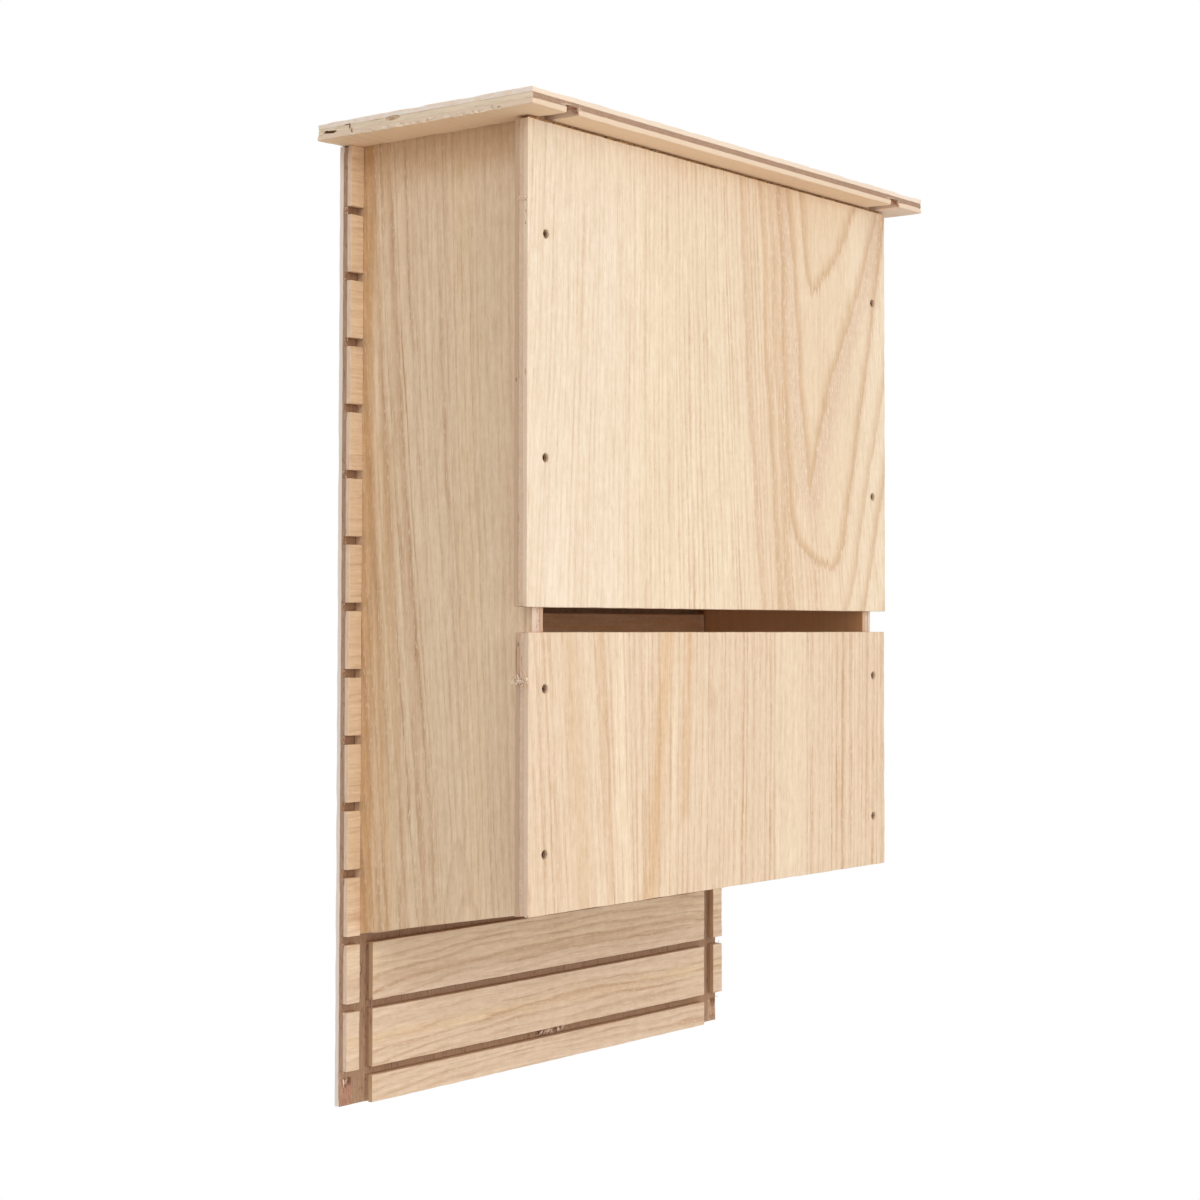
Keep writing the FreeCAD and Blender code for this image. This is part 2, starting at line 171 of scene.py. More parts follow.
def add_skin(piece, skin, material):
    """Join another closed skin to a piece, with its own finish."""
    if material.name not in piece.data.materials:
        piece.data.materials.append(material)
    slot = list(piece.data.materials).index(material)
    bmesh.ops.recalc_face_normals(skin, faces=skin.faces)
    for face in skin.faces:
        face.material_index = slot
    extra = bpy.data.meshes.new("extra")
    skin.to_mesh(extra)
    skin.free()
    whole = bmesh.new()
    whole.from_mesh(piece.data)
    whole.from_mesh(extra)
    whole.to_mesh(piece.data)
    whole.free()
    bpy.data.meshes.remove(extra)


def cut_out(board, cutter, name, material):
    """Take a cutter's shape out of a board, and give the cut faces their own finish."""
    tool = piece_from(cutter, name, material)
    step = board.modifiers.new(name, "BOOLEAN")
    step.operation = "DIFFERENCE"
    step.solver = "MANIFOLD"
    step.object = tool
    bpy.context.view_layer.update()
    cut = bpy.data.meshes.new_from_object(board.evaluated_get(bpy.context.evaluated_depsgraph_get()))
    board.modifiers.clear()
    old = board.data
    board.data = cut
    bpy.data.meshes.remove(old)
    bpy.data.objects.remove(tool)


# All chance in the wear and in how the screws are turned comes from this one seeded source.
draw = random.Random(41)


def splinter(skin, root, reach, side, width, thick, bend):
    """A sliver of torn wood: flat, buried at its root and tapering in a curve to its tip."""
    steps = 5
    side = side.normalized()
    lift = reach.cross(side).normalized()
    rings = []
    for k in range(steps + 1):
        share = k / steps
        middle = root + reach * share + bend * share * share
        across = side * width * (1 - 0.85 * share ** 1.5) / 2
        up = lift * thick * (1 - 0.6 * share) / 2
        rings.append([middle + across, middle + up, middle - across, middle - up])
    close_rings(skin, rings)


def any_way():
    """A random direction, up to 1 along each axis."""
    return Vector([draw.uniform(-1, 1) for _ in range(3)])


def tuft(skin, start, run, count, reach, spread, width):
    """Splinters with their roots along a run from a starting place, all reaching roughly one way."""
    reach = Vector(reach)
    for _ in range(count):
        away = reach * draw.uniform(0.45, 1.15)
        stray = any_way() * spread * reach.length
        bend = any_way() * spread * reach.length * 0.8
        side = away.cross(any_way())
        root = Vector(start) + Vector(run) * draw.random()
        splinter(skin, root, away + stray, side, width * draw.uniform(0.5, 1.2), width * 0.35, bend)


def torn_patch(skin, corner, high, wide, out, ridge):
    """A field of torn wood: upright ridges of fibre that sink into the board at the rim."""
    step = 0.0006
    rows = max(4, round(high / step))
    columns = max(4, round(wide / step))
    grid = []
    for i in range(rows + 1):
        line = []
        for j in range(columns + 1):
            place = corner + Vector((wide * j / columns, 0, high * i / rows))
            strand = Vector((j * 0.9, i * 0.09, corner.z * 100))
            height = ridge * (0.5 + 0.8 * noise.noise(strand) + 0.5 * noise.noise(strand * 2.7))
            rim = min(i, rows - i, j, columns - j)
            line.append(skin.verts.new(place + out * (height * min(1.0, rim / 2) - ridge * 0.3)))
        grid.append(line)
    for under, over in zip(grid, grid[1:]):
        for j in range(columns):
            skin.faces.new((under[j], over[j], over[j + 1], under[j + 1]))
    border = grid[0][:-1] + [line[-1] for line in grid[:-1]]
    border += grid[-1][:0:-1] + [line[0] for line in grid[:0:-1]]
    foot = [skin.verts.new(vert.co - out * ridge * 0.8) for vert in border]
    for k in range(len(border)):
        after = (k + 1) % len(border)
        skin.faces.new((border[k], border[after], foot[after], foot[k]))
    skin.faces.new(foot)


def gouge(board, name, finish, centre, long, wide, out, depth):
    """Take a ragged hollow out of a board: a lens that is long one way."""
    corners = 14
    rings = []
    for reach, size in ((-depth, 0.35), (-depth * 0.6, 0.8), (0.0, 1.0), (depth * 0.6, 1.25)):
        ring = []
        for k in range(corners):
            angle = math.tau * k / corners
            ragged = size * draw.uniform(0.8, 1.15)
            way = Vector(long) * math.cos(angle) + Vector(wide) * math.sin(angle)
            ring.append(Vector(centre) + out * reach + way * ragged)
        rings.append(ring)
    cutter = bmesh.new()
    close_rings(cutter, rings)
    cut_out(board, cutter, name, finish)


def round_cornered(half_wide, half_high, corner):
    """The outline of a plate or seat with round corners, about its own middle."""
    arc = 6
    outline = []
    for quarter, (side, end) in enumerate(((1, 1), (-1, 1), (-1, -1), (1, -1))):
        for k in range(arc + 1):
            angle = math.radians(90 * (quarter + k / arc))
            outline.append((side * (half_wide - corner) + corner * math.cos(angle),
                            end * (half_high - corner) + corner * math.sin(angle)))
    return outline


def raise_outline(skin, outline, levels, turn, centre):
    """A closed form whose outline is carried through levels, each with its own scale, then turned
    from lying face up and set in place."""
    rings = []
    for level, scale in levels:
        rings.append([turn @ Vector((u * scale, v * scale, level)) + centre for u, v in outline])
    close_rings(skin, rings)


def sinks(board, name, finish, spots, radius, depth, rim, out):
    """Cut sunk screw holes into a board, round and flared at the mouth."""
    corners = 32
    turn = Vector((0, 0, 1)).rotation_difference(out).to_matrix()
    circle = [(math.cos(math.tau * k / corners), math.sin(math.tau * k / corners)) for k in range(corners)]
    levels = ((-depth, radius), (-rim, radius), (0, radius + rim), (rim, radius + 2 * rim))
    cutter = bmesh.new()
    for spot in spots:
        raise_outline(cutter, circle, levels, turn, spot)
    cut_out(board, cutter, name, finish)


def middle_of(box, axis, level):
    """The middle of a box, moved along one axis to a given level."""
    spot = Vector([(near + far) / 2 for near, far in zip(*box)])
    spot[axis] = level
    return spot


def shown(*levels):
    """A colour as a screen shows it, from 0 to 255, in the light values that a shader takes."""
    return (*(((level / 255 + 0.055) / 1.055) ** 2.4 for level in levels), 1.0)


class Measure:
    """A number, place or colour that changes over the surface, and that sums can be made with."""

    def __init__(self, socket):
        self.socket = socket

    def __add__(self, other):
        return calc("ADD", self, other)

    def __sub__(self, other):
        return calc("SUBTRACT", self, other)

    def __rsub__(self, other):
        return calc("SUBTRACT", other, self)

    def __mul__(self, other):
        return calc("MULTIPLY", self, other)

    def __truediv__(self, other):
        return calc("DIVIDE", self, other)

    def __abs__(self):
        return calc("ABSOLUTE", self)


def wire(socket, value):
    """Feed a socket from a measure, or set it to a number or to a colour as a screen shows it."""
    if isinstance(value, Measure):
        socket.id_data.links.new(value.socket, socket)
    else:
        socket.default_value = shown(*value) if isinstance(value, tuple) else value


def node_step(kind, feeds, **settings):
    """Place a node in the tree of the measures that feed it, and give the measures it puts out."""
    tree = next(value.socket.id_data for value in feeds.values() if isinstance(value, Measure))
    node = tree.nodes.new("ShaderNode" + kind)
    for name, value in settings.items():
        setattr(node, name, value)
    for label, value in feeds.items():
        wire(node.inputs[label], value)
    return [Measure(socket) for socket in node.outputs]


def calc(operation, *values, clamp=False):
    """One step of arithmetic on measures and numbers."""
    return node_step("Math", dict(enumerate(values)), operation=operation, use_clamp=clamp)[0]


def join(x, y, z):
    """A place or colour from three numbers."""
    return node_step("CombineXYZ", dict(enumerate((x, y, z))))[0]


def part_axes(place):
    """The three numbers of a place or direction."""
    return node_step("SeparateXYZ", {0: place})


def speckle(place, detail, roughness=0.5, scale=1.0):
    """Soft noise from 0 to 1 at a given number of features to the unit."""
    return node_step("TexNoise", dict(Vector=place, Scale=scale, Detail=detail, Roughness=roughness))[0]


def ramp(value, low, high, start=0.0, end=1.0):
    """Carry a value smoothly from start at low to end at high."""
    feeds = {"Value": value, "From Min": low, "From Max": high, "To Min": start, "To Max": end}
    return node_step("MapRange", feeds, interpolation_type="SMOOTHSTEP")[0]


def tint(amount, below, above, mode="MIX"):
    """Lay one colour over another by an amount from 0 to 1."""
    return node_step("Mix", {0: amount, 6: below, 7: above}, data_type="RGBA", blend_type=mode)[2]


def new_group(name, outputs, **inputs):
    """Start a node group with named outputs, and named inputs with the values they have unfed."""
    group = bpy.data.node_groups.new(name, "ShaderNodeTree")
    for label, value in inputs.items():
        kind = {float: "Float", tuple: "Color", Vector: "Vector"}[type(value)]
        label = label.replace("_", " ")
        wire(group.interface.new_socket(label, in_out="INPUT", socket_type="NodeSocket" + kind), value)
    for label in outputs:
        kind = "Color" if label == "Color" else "Float"
        group.interface.new_socket(label, in_out="OUTPUT", socket_type="NodeSocket" + kind)
    entry = {socket.name: Measure(socket) for socket in group.nodes.new("NodeGroupInput").outputs}
    return group, entry, group.nodes.new("NodeGroupOutput").inputs


def use_group(group, **values):
    """Place a node group, feed its inputs, and give the measures it puts out by name."""
    feeds = {label.replace("_", " "): value for label, value in values.items()}
    return {measure.socket.name: measure for measure in node_step("Group", feeds, node_tree=group)}


# Which ply a point lies in, told by its depth below the show face, with thin lines of glue between.
ply_layers, entry, result = new_group(
    "ply layers", ("Core", "Glue", "Rear"), Depth=0.0, Ply=0.003, Place=Vector((0, 0, 0)))
waver = speckle(entry["Place"], 3, scale=120) * 0.0004 - 0.0002
level = (entry["Depth"] + waver) / entry["Ply"]
from_middle = abs(level - 1.5)
wire(result["Core"], ramp(from_middle, 0.47, 0.53, 1.0, 0.0))
wire(result["Glue"], ramp(abs(from_middle - 0.5), 0.012, 0.045, 1.0, 0.0))
wire(result["Rear"], ramp(level, 1.95, 2.05))

# Growth rings met by a straight cut: lines that fan, lean and bow over the board. Each ring starts
# with porous early wood and ends in a darker line. No two rings are equally wide or strong, and
# each fades and comes back along the grain.
growth_rings, entry, result = new_group(
    "growth rings", ("Early", "Line"), Across=0.0, Along=0.0, Upright=0.1, Fan=0.0, Lean=0.0, Bow=0.0,
    Pitch=0.005, Wander=0.002, Strong=1.0, Seed=0.0)


def ring_noise(across, along, across_scale, along_scale, detail=2, roughness=0.5):
    """Noise about zero for the growth rings, drawn out along the grain."""
    return speckle(join(across * across_scale, along * along_scale, entry["Seed"]), detail, roughness) - 0.5


across = entry["Across"]
along = entry["Along"]
aside = (across - entry["Upright"]) * (along * entry["Fan"] + 1.0)
aside = aside + along * entry["Lean"] + along * along * entry["Bow"]
wander = ring_noise(across, along, 90, 11) * 0.3 + ring_noise(across, along, 14, 3.5)
aside = aside + wander * entry["Wander"]
rings = aside / entry["Pitch"] + ring_noise(aside, 0.0, 60, 1, 3, 0.6) * 3.2
rings = rings + ring_noise(across, along, 650, 45, 3) * 0.5
chance = node_step("TexWhiteNoise", {"W": calc("FLOOR", rings) + entry["Seed"]}, noise_dimensions="1D")[0]
fading = calc("MULTIPLY_ADD", ring_noise(aside, along, 150, 14), 2.4, 0.6, clamp=True)
strength = (chance * 0.8 + 0.2) * fading * entry["Strong"]
phase = calc("FRACT", rings)
early = calc("ADD", ramp(phase, 0.05, 0.7, 1.0, 0.0), ramp(phase, 0.88, 1.0), clamp=True)
line = calc("ADD", ramp(phase, 0.0, 0.25, 1.0, 0.0), ramp(phase, 0.55, 1.0), clamp=True)
wire(result["Early"], early * strength)
wire(result["Line"], line * strength)

# Sliced ash: smooth yellowish late wood, a darker line where each ring ends, then porous early
# wood with pale flecks and fine dark pores, all drawn out along the grain.
ash_veneer, entry, result = new_group(
    "ash veneer", ("Color", "Height", "Roughness"), Across=0.0, Along=0.0, Early=0.0, Line=0.0, Seed=0.0,
    Late_Wood=(240, 218, 184), Early_Wood=(231, 203, 175), Ring_Line=(212, 179, 142), Fleck=(247, 232, 211),
    Flecks=1.0, Streaks=0.1)


def drawn_out(across_scale, along_scale, shift):
    """A point of the veneer with its features stretched along the grain."""
    return join(entry["Across"] * across_scale, entry["Along"] * along_scale, entry["Seed"] + shift)


colour = tint(entry["Early"], entry["Late Wood"], entry["Early Wood"])
colour = tint(entry["Line"] * 0.6, colour, entry["Ring Line"])
broad = speckle(drawn_out(50, 6, 2), 2)
streak = speckle(drawn_out(330, 9, 3), 5, 0.7)
thread = speckle(drawn_out(850, 55, 4), 3, 0.6)
cloud = speckle(drawn_out(240, 110, 7), 4, 0.7)
lift = (broad + streak * 1.7 + thread * 2.3 + cloud * 1.8 - 3.4) * entry["Streaks"]
colour = tint(1.0, colour, join(*[lift * depth + 1.0 for depth in (0.75, 1.0, 1.4)]), "MULTIPLY")
porous = calc("MULTIPLY_ADD", entry["Early"], 0.7, 0.3, clamp=True) * entry["Flecks"]
fleck = ramp(speckle(drawn_out(1000, 200, 5), 1), 0.54, 0.7) * porous
colour = tint(fleck * 0.6, colour, entry["Fleck"])
pore = ramp(speckle(drawn_out(2000, 260, 6), 1), 0.56, 0.72) * porous
wire(result["Color"], tint(pore * 0.35, colour, entry["Ring Line"]))
wire(result["Height"], thread * 0.3 + streak * 0.3 - entry["Early"] * 0.15 - pore * 0.6)
wire(result["Roughness"], entry["Early"] * 0.12 + 0.56)

# The middle ply where a cutter has bared it: brown, open and fibrous, with darker pits.
bared_core, entry, result = new_group(
    "bared core", ("Color", "Height"), Across=0.0, Along=0.0, Through=0.0,
    Brown=(180, 146, 120), Dark=(118, 84, 62), Pale=(212, 180, 150), Pits=1.0)


def along_fibres(across_scale, along_scale, shift):
    """A point of the core with its features stretched along its own grain."""
    through = entry["Through"] * across_scale + shift
    return join(entry["Across"] * across_scale, entry["Along"] * along_scale, through)


coarse = speckle(along_fibres(200, 14, 1), 3, 0.6)
fine = speckle(along_fibres(1300, 90, 2), 3, 0.6)
pit = ramp(speckle(along_fibres(800, 240, 3), 2), 0.58, 0.72) * entry["Pits"]
shade = coarse * 0.3 + fine * 0.5 + 0.6
colour = tint(1.0, entry["Brown"], join(shade, shade, shade), "MULTIPLY")
colour = tint(ramp(fine, 0.5, 0.75, 0.0, 0.25), colour, entry["Pale"])
wire(result["Color"], tint(pit * 0.5, colour, entry["Dark"]))
wire(result["Height"], fine + coarse * 0.5 - pit)


def start_material(name):
    """A fresh material, what its shader takes in, and the place of the point on the object."""
    material = bpy.data.materials.new(name)
    material.use_nodes = True
    nodes = material.node_tree.nodes
    place = Measure(nodes.new("ShaderNodeTexCoord").outputs["Object"])
    return material, nodes["Principled BSDF"].inputs, place


def dress(inputs, colour, roughness, gloss, height, relief):
    """Feed a shader its colour, roughness, gloss, and a height that stands up as relief."""
    wire(inputs["Base Color"], colour)
    wire(inputs["Roughness"], roughness)
    wire(inputs["Specular IOR Level"], gloss)
    wire(inputs["Normal"], node_step("Bump", dict(Strength=1.0, Distance=relief, Height=height))[0])


def streak_mask(across, along, place, lean, half, soft, start=-1.0, end=2.0):
    """Where a band along the grain lies, from its place at the board's end and its lean."""
    line = abs(along * -lean + (across - place))
    patchy = speckle(join(across * 90, along * 12, place), 3, 0.6)
    patchy = calc("MULTIPLY_ADD", patchy, 1.2, 0.35, clamp=True)
    mask = ramp(line, half - soft, half + soft, 1.0, 0.0) * patchy
    return mask * ramp(along, start, start + 6 * soft) * ramp(along, end - 6 * soft, end, 1.0, 0.0)


def plywood(name, low, high, thin, grain, show, figure, bands, colours, seed, flecks, streaks, core, edge,
            pits=1.0, glue=0.4, ends=((206, 174, 143), (238, 212, 182)), rear=(0.0, (243, 229, 211)),
            inside=(0.0, (204, 148, 98)), walls=(0.0, (202, 166, 126))):
    """A plywood finish for a board between two corners: face veneer with its own figure, glue lines,
    a core whose colour depends on whether its bared face looks along X, Y or Z, plies that darken
    where they are sawn, and walls of dados that the router has scorched.

    Thin and grain are the axes of the thickness and of the face grain, and show is the way that
    the show face looks. Colours are those of late wood, early wood, ring line and fleck. Rear,
    inside and walls each give an amount and a colour: for the rear ply where it is sawn, for the
    face that looks into the box and for the end-on walls of dados. Inside, and rear on the sides and
    fronts, are painted warm shade inside the box; rear on the back board is a painted highlight.
    Each band is a colour, an amount, its place, lean, half width and softness, and its start and
    end where it falls short of the board's ends; a few bands paint light and shade, as said where
    they are given. Distances across and along the grain are counted from the left, from the wall
    and from the top.
    """
    material, inputs, place = start_material(name)
    spot = part_axes(place)
    counted = [spot[0] - low[0], high[1] - spot[1], high[2] - spot[2]]
    depth = high[thin] - spot[thin] if show > 0 else spot[thin] - low[thin]
    layers = use_group(ply_layers, Depth=depth, Ply=(high[thin] - low[thin]) / 3, Place=place)
    side = 3 - thin - grain
    across = depth * 0.35 + counted[side]
    along = counted[grain]
    early, line = figure(across, along)
    late_wood, early_wood, ring_line, fleck = colours
    waved = speckle(join(across * 300, along * 30, 0.0), 3) * 0.004 + (across - 0.002)
    for colour, amount, *shape in bands:
        late_wood = tint(streak_mask(waved, along, *shape) * amount, late_wood, colour)
    face = use_group(ash_veneer, Across=across, Along=along, Early=early, Line=line, Late_Wood=late_wood,
                     Early_Wood=early_wood, Ring_Line=ring_line, Fleck=fleck, Seed=seed, Flecks=flecks,
                     Streaks=streaks)
    normal = part_axes(Measure(material.node_tree.nodes.new("ShaderNodeNewGeometry").outputs["Normal"]))
    facing = [ramp(abs(normal[axis]), 0.75, 0.95) for axis in range(3)]
    brown = tint(facing[2], tint(facing[1], core[0], core[1]), core[2])
    inner = use_group(bared_core, Across=along, Along=across, Through=depth, Brown=brown, Pits=pits)
    end_on = facing[grain]
    drag = speckle(join(across * 150, depth * 700, 0.0), 4, 0.6)
    skin_colour = tint(end_on * 0.8, face["Color"], tint(ramp(drag, 0.35, 0.7), *ends))
    half_long = (high[grain] - low[grain]) / 2
    scorched = ramp(abs(along - half_long), half_long - 0.004, half_long - 0.002, walls[0], 0.0)
    skin_colour = tint(end_on * scorched, skin_colour, walls[1])
    skin_colour = tint(facing[side] * 0.75, skin_colour, edge)
    skin_colour = tint(layers["Rear"] * rear[0], skin_colour, rear[1])
    skin_colour = tint(layers["Rear"] * facing[thin] * inside[0], skin_colour, inside[1])
    colour = tint(layers["Core"], skin_colour, inner["Color"])
    colour = tint(layers["Glue"] * glue, colour, (122, 92, 70))
    roughness = calc("MULTIPLY_ADD", layers["Core"], 0.25, face["Roughness"], clamp=True)
    height = end_on * drag * 1.5 + layers["Core"] * inner["Height"] * 2.0 + face["Height"]
    dress(inputs, colour, roughness, 0.2, height, 0.0001)
    return material


def raw_wood(name, brown, dark, pale, grain):
    """Wood that has been torn or drilled: fibres along one axis, in its own colours."""
    material, inputs, place = start_material(name)
    spot = part_axes(place)
    along = spot.pop(grain)
    fibre = use_group(bared_core, Across=spot[0], Along=along, Through=spot[1],
                      Brown=brown, Dark=dark, Pale=pale)
    dress(inputs, fibre["Color"], 0.85, 0.1, fibre["Height"], 0.0003)
    return material


def plain_figure(**rings):
    """The figure of a board that shows straight growth rings alone."""
    def figure(across, along):
        out = use_group(growth_rings, Across=across, Along=along, **rings)
        return out["Early"], out["Line"]
    return figure


def landing_figure(across, along):
    """Rings that rise from the left and level out, weaker on the strip outside the left dado."""
    rings = plain_figure(Upright=0.3, Lean=0.09, Bow=-0.16, Pitch=0.0056, Wander=0.024, Strong=1.3, Seed=3.0)
    quiet = ramp(along, 0.008, 0.026, 0.5, 1.0)
    return [rings_part * quiet for rings_part in rings(across, along)]


to_wall = Vector((0, 1, 0))
to_front = Vector((0, -1, 0))
to_left = Vector((-1, 0, 0))
upward = Vector((0, 0, 1))
floor_y = board_low.y + rout_depth
torn_head = lowest_groove - groove_width / 2
groove_middles = [lowest_groove + k * groove_pitch for k in range(groove_count)]
dados = [(-body_half, dado_width - body_half), (body_half - dado_width, body_half)]
routed = [(board_low.x, board_high.x, middle - groove_width / 2, middle + groove_width / 2)
          for middle in groove_middles]
routed += [(near, far, board_low.z, board_high.z) for near, far in dados]
routed += [(near, far, board_low.z, torn_head)
           for near, far in ((board_low.x, -body_half), (body_half, board_high.x))]
cuts = [((near, board_low.y, foot), (far, floor_y, head)) for near, far, foot, head in routed]
skin, count = carve_board(board_low, board_high, cuts, 1)
wear_board(skin, count, board_low, board_high, 1)
core_browns = ((184, 148, 122), (174, 138, 110), (176, 140, 109))
back_board = piece_from(skin, "back_board_ash", plywood(
    "landing ash", board_low, board_high, thin=1, grain=0, show=-1, figure=landing_figure,
    # The band at 0.458 lightens the top of the landing: painted light that offsets the shadow the box casts
    # there.
    bands=[((252, 224, 186), 0.6, 0.458, 0.0, 0.020, 0.005),
           ((236, 204, 160), 0.6, 0.515, -0.01, 0.003, 0.003),
           ((212, 172, 134), 0.7, 0.444, 0.012, 0.003, 0.003),
           ((214, 175, 138), 0.6, 0.481, -0.015, 0.002, 0.002),
           ((240, 210, 166), 0.5, 0.2, 0.0, 0.235, 0.003, -1.0, 0.03),
           # The last band turns the face inside the box, between the dados, a darker orange: painted warm
           # shade inside the box.
           ((218, 168, 122), 0.95, 0.2, 0.0, 0.195, 0.002, 0.018, 0.352)],
    colours=((235, 206, 177), (219, 185, 152), (196, 151, 110), (242, 220, 190)),
    seed=3.0, flecks=0.9, streaks=0.19, core=core_browns, edge=(226, 192, 158),
    # Its rear ply is tinted near white: a painted highlight for the pale rim of light along the board's sawn
    # edges.
    ends=((228, 192, 166), (242, 214, 188)), rear=(0.85, (250, 234, 222)), walls=(0.9, (202, 166, 126))))
drilled_wood = raw_wood("drilled wood", (200, 165, 136), (140, 100, 76), (222, 190, 160), 2)

# Wall side: seats for the two hanger plates with pockets behind them for the wall screws, and the
# sunk holes of the screws that go into the side panels.
plate_play = 0.0002
seat_corner = 0.0062
pocket_half = (0.0065, 0.0115)
pocket_corner = 0.001
pocket_depth = 0.006
cut_past = 0.001
sink_radius = 0.0025
sink_rim = 0.0003
face_wall = Matrix.Rotation(math.radians(-90), 3, "X")
seats = bmesh.new()
pockets = bmesh.new()
for side in ("left", "right"):
    low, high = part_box("hanger_plate_" + side)
    centre = middle_of((low, high), 1, board_high.y)
    half_wide, _, half_high = [(far - near) / 2 for near, far in zip(low, high)]
    outline = round_cornered(half_wide + plate_play, half_high + plate_play, seat_corner)
    raise_outline(seats, outline, ((low.y, 1), (cut_past, 1)), face_wall, centre)
    raise_outline(pockets, round_cornered(*pocket_half, pocket_corner), ((-pocket_depth, 1), (cut_past, 1)),
                  face_wall, centre)
cut_out(back_board, seats, "hanger_seats", drilled_wood)
cut_out(back_board, pockets, "head_pockets", drilled_wood)
spots = [middle_of(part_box("back_screw_%s_%d" % (side, number)), 1, board_high.y)
         for side in ("left", "right") for number in range(1, 4)]
sinks(back_board, "back_sinks", drilled_wood, spots, sink_radius, 0.002, sink_rim, to_wall)

# The sheet on the wall side is another slice of veneer than the one on the landing.
back_board.data.materials.append(plywood(
    "wall side ash", board_low, board_high, thin=1, grain=0, show=-1,
    figure=plain_figure(Upright=0.22, Lean=-0.06, Bow=0.1, Pitch=0.0072, Wander=0.022, Strong=1.2, Seed=13.0),
    bands=[], colours=((236, 208, 178), (218, 184, 150), (194, 150, 110), (242, 220, 190)),
    seed=13.0, flecks=0.9, streaks=0.19, core=core_browns, edge=(226, 192, 158)))
wall_veneer = len(back_board.data.materials) - 1
for face in back_board.data.polygons:
    if face.material_index == 0 and face.normal.y > 0.9 and face.center.y > board_high.y - 0.0005:
        face.material_index = wall_veneer

# The router has left torn fibres: tufts where the grooves run out, a pale rag in the lowest groove,
# a pit in the left dado and rough stumps where the two corner blocks came off.
bruised = raw_wood("bruised wood", (120, 84, 64), (70, 44, 32), (150, 112, 88), 2)
torn_core = raw_wood("torn core", (188, 140, 116), (140, 92, 72), (214, 172, 146), 2)
pale_fibre = raw_wood("pale fibre", (232, 204, 178), (196, 160, 132), (246, 226, 206), 2)
dark_core = raw_wood("dark core", (158, 116, 88), (112, 74, 54), (190, 150, 120), 2)
pit_place = (-0.1681, floor_y, -0.424)
gouge(back_board, "dado_pit", bruised, pit_place, (0, 0, 0.0035), (0.0011, 0, 0), to_front, 0.002)
for side, edge, stump_wood, fibre_wood, dark_count in (
        (-1, board_low.x, torn_core, pale_fibre, 14), (1, board_high.x, drilled_wood, torn_core, 7)):
    stump = bmesh.new()
    corner = Vector((min(edge, side * body_half) + 0.0004, floor_y, board_low.z + 0.0004))
    wide = abs(edge - side * body_half) - 0.0008
    torn_patch(stump, corner, torn_head - board_low.z, wide, to_front, 0.0011)
    add_skin(back_board, stump, stump_wood)
    for finish, number in ((dark_core, dark_count), (fibre_wood, 6)):
        strands = bmesh.new()
        tuft(strands, (edge - side * 0.009, floor_y - 0.0004, torn_head + 0.0004),
             (side * 0.0075, -0.0006, -0.0004), number, (0, -0.0005, -0.005), 0.14, 0.0007)
        add_skin(back_board, strands, finish)
    rags = bmesh.new()
    for k, middle in enumerate(groove_middles):
        busy = 12 if side < 0 and k == groove_count - 1 else draw.randint(2, 5)
        for lip in (-1, 1):
            root = (edge - side * 0.0004, floor_y - 0.0002, middle + lip * groove_width * 0.44)
            tuft(rags, root, (0, -0.0022, 0), busy, (side * 0.0004, 0, -lip * 0.0016), 0.5, 0.0004)
    add_skin(back_board, rags, fibre_wood)
for finish, number in ((pale_fibre, 24), (torn_core, 9)):
    rag = bmesh.new()
    for row in range(3):
        start = (-0.0105, floor_y - 0.0014 * row, lowest_groove - groove_width * 0.42 + 0.0008 * row)
        tuft(rag, start, (0.023, 0, 0), number, (0.0005, -0.0006, 0.003), 0.4, 0.0009)
    add_skin(back_board, rag, finish)
flap = bmesh.new()
flap_height = lowest_groove + groove_pitch * 1.1
flap_root = Vector((dado_width - body_half + 0.0001, board_low.y + 0.0008, flap_height))
splinter(flap, flap_root, Vector((0, 0.0004, -0.018)), to_wall, 0.0016, 0.0008, Vector((-0.0012, 0, 0)))
add_skin(back_board, flap, torn_core)
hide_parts("back_board")
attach(back_board, "root")


# Side panels: two upright boards with upright grain, standing in dados all round. Their lower edge
# falls towards the wall, so the mouth of the box is open to the landing.
side_front_foot = board_low.z + 0.1184
side_level = side_front_foot + 0.01
tongue_shape = ("Tip_Across", "Tip_Along", "Left_Reach", "Left_Round", "Left_Slope",
                "Right_Reach", "Right_Round", "Right_Slope")


# One tongue: how far a point lies outside a ring line that comes down to a tip and goes back up.
# Each leg swings out from the tip by a reach within a rounding height, then goes on at a slope.
tongue, entry, result = new_group(
    "tongue", ("Beyond",), **{name: 0.01 for name in ("Across", "Along") + tongue_shape})
rise = entry["Tip Along"] - entry["Along"]
above = calc("MAXIMUM", rise, 0.0)
aside = entry["Across"] - entry["Tip Across"]
legs = []
for leg in ("Left", "Right"):
    fade = calc("EXPONENT", above * -1.0 / entry[leg + " Round"])
    width = above * entry[leg + " Slope"] + (1.0 - fade) * entry[leg + " Reach"]
    steep = fade * entry[leg + " Reach"] / entry[leg + " Round"] + entry[leg + " Slope"]
    legs.append((abs(aside) - width) / calc("SQRT", steep * steep + 1.0))
is_right = calc("GREATER_THAN", aside, 0.0)
beside = legs[1] * is_right + legs[0] * (1.0 - is_right)
below = calc("SQRT", aside * aside + rise * rise)
is_below = calc("LESS_THAN", rise, 0.0)
wire(result["Beyond"], below * is_below + beside * (1.0 - is_below))


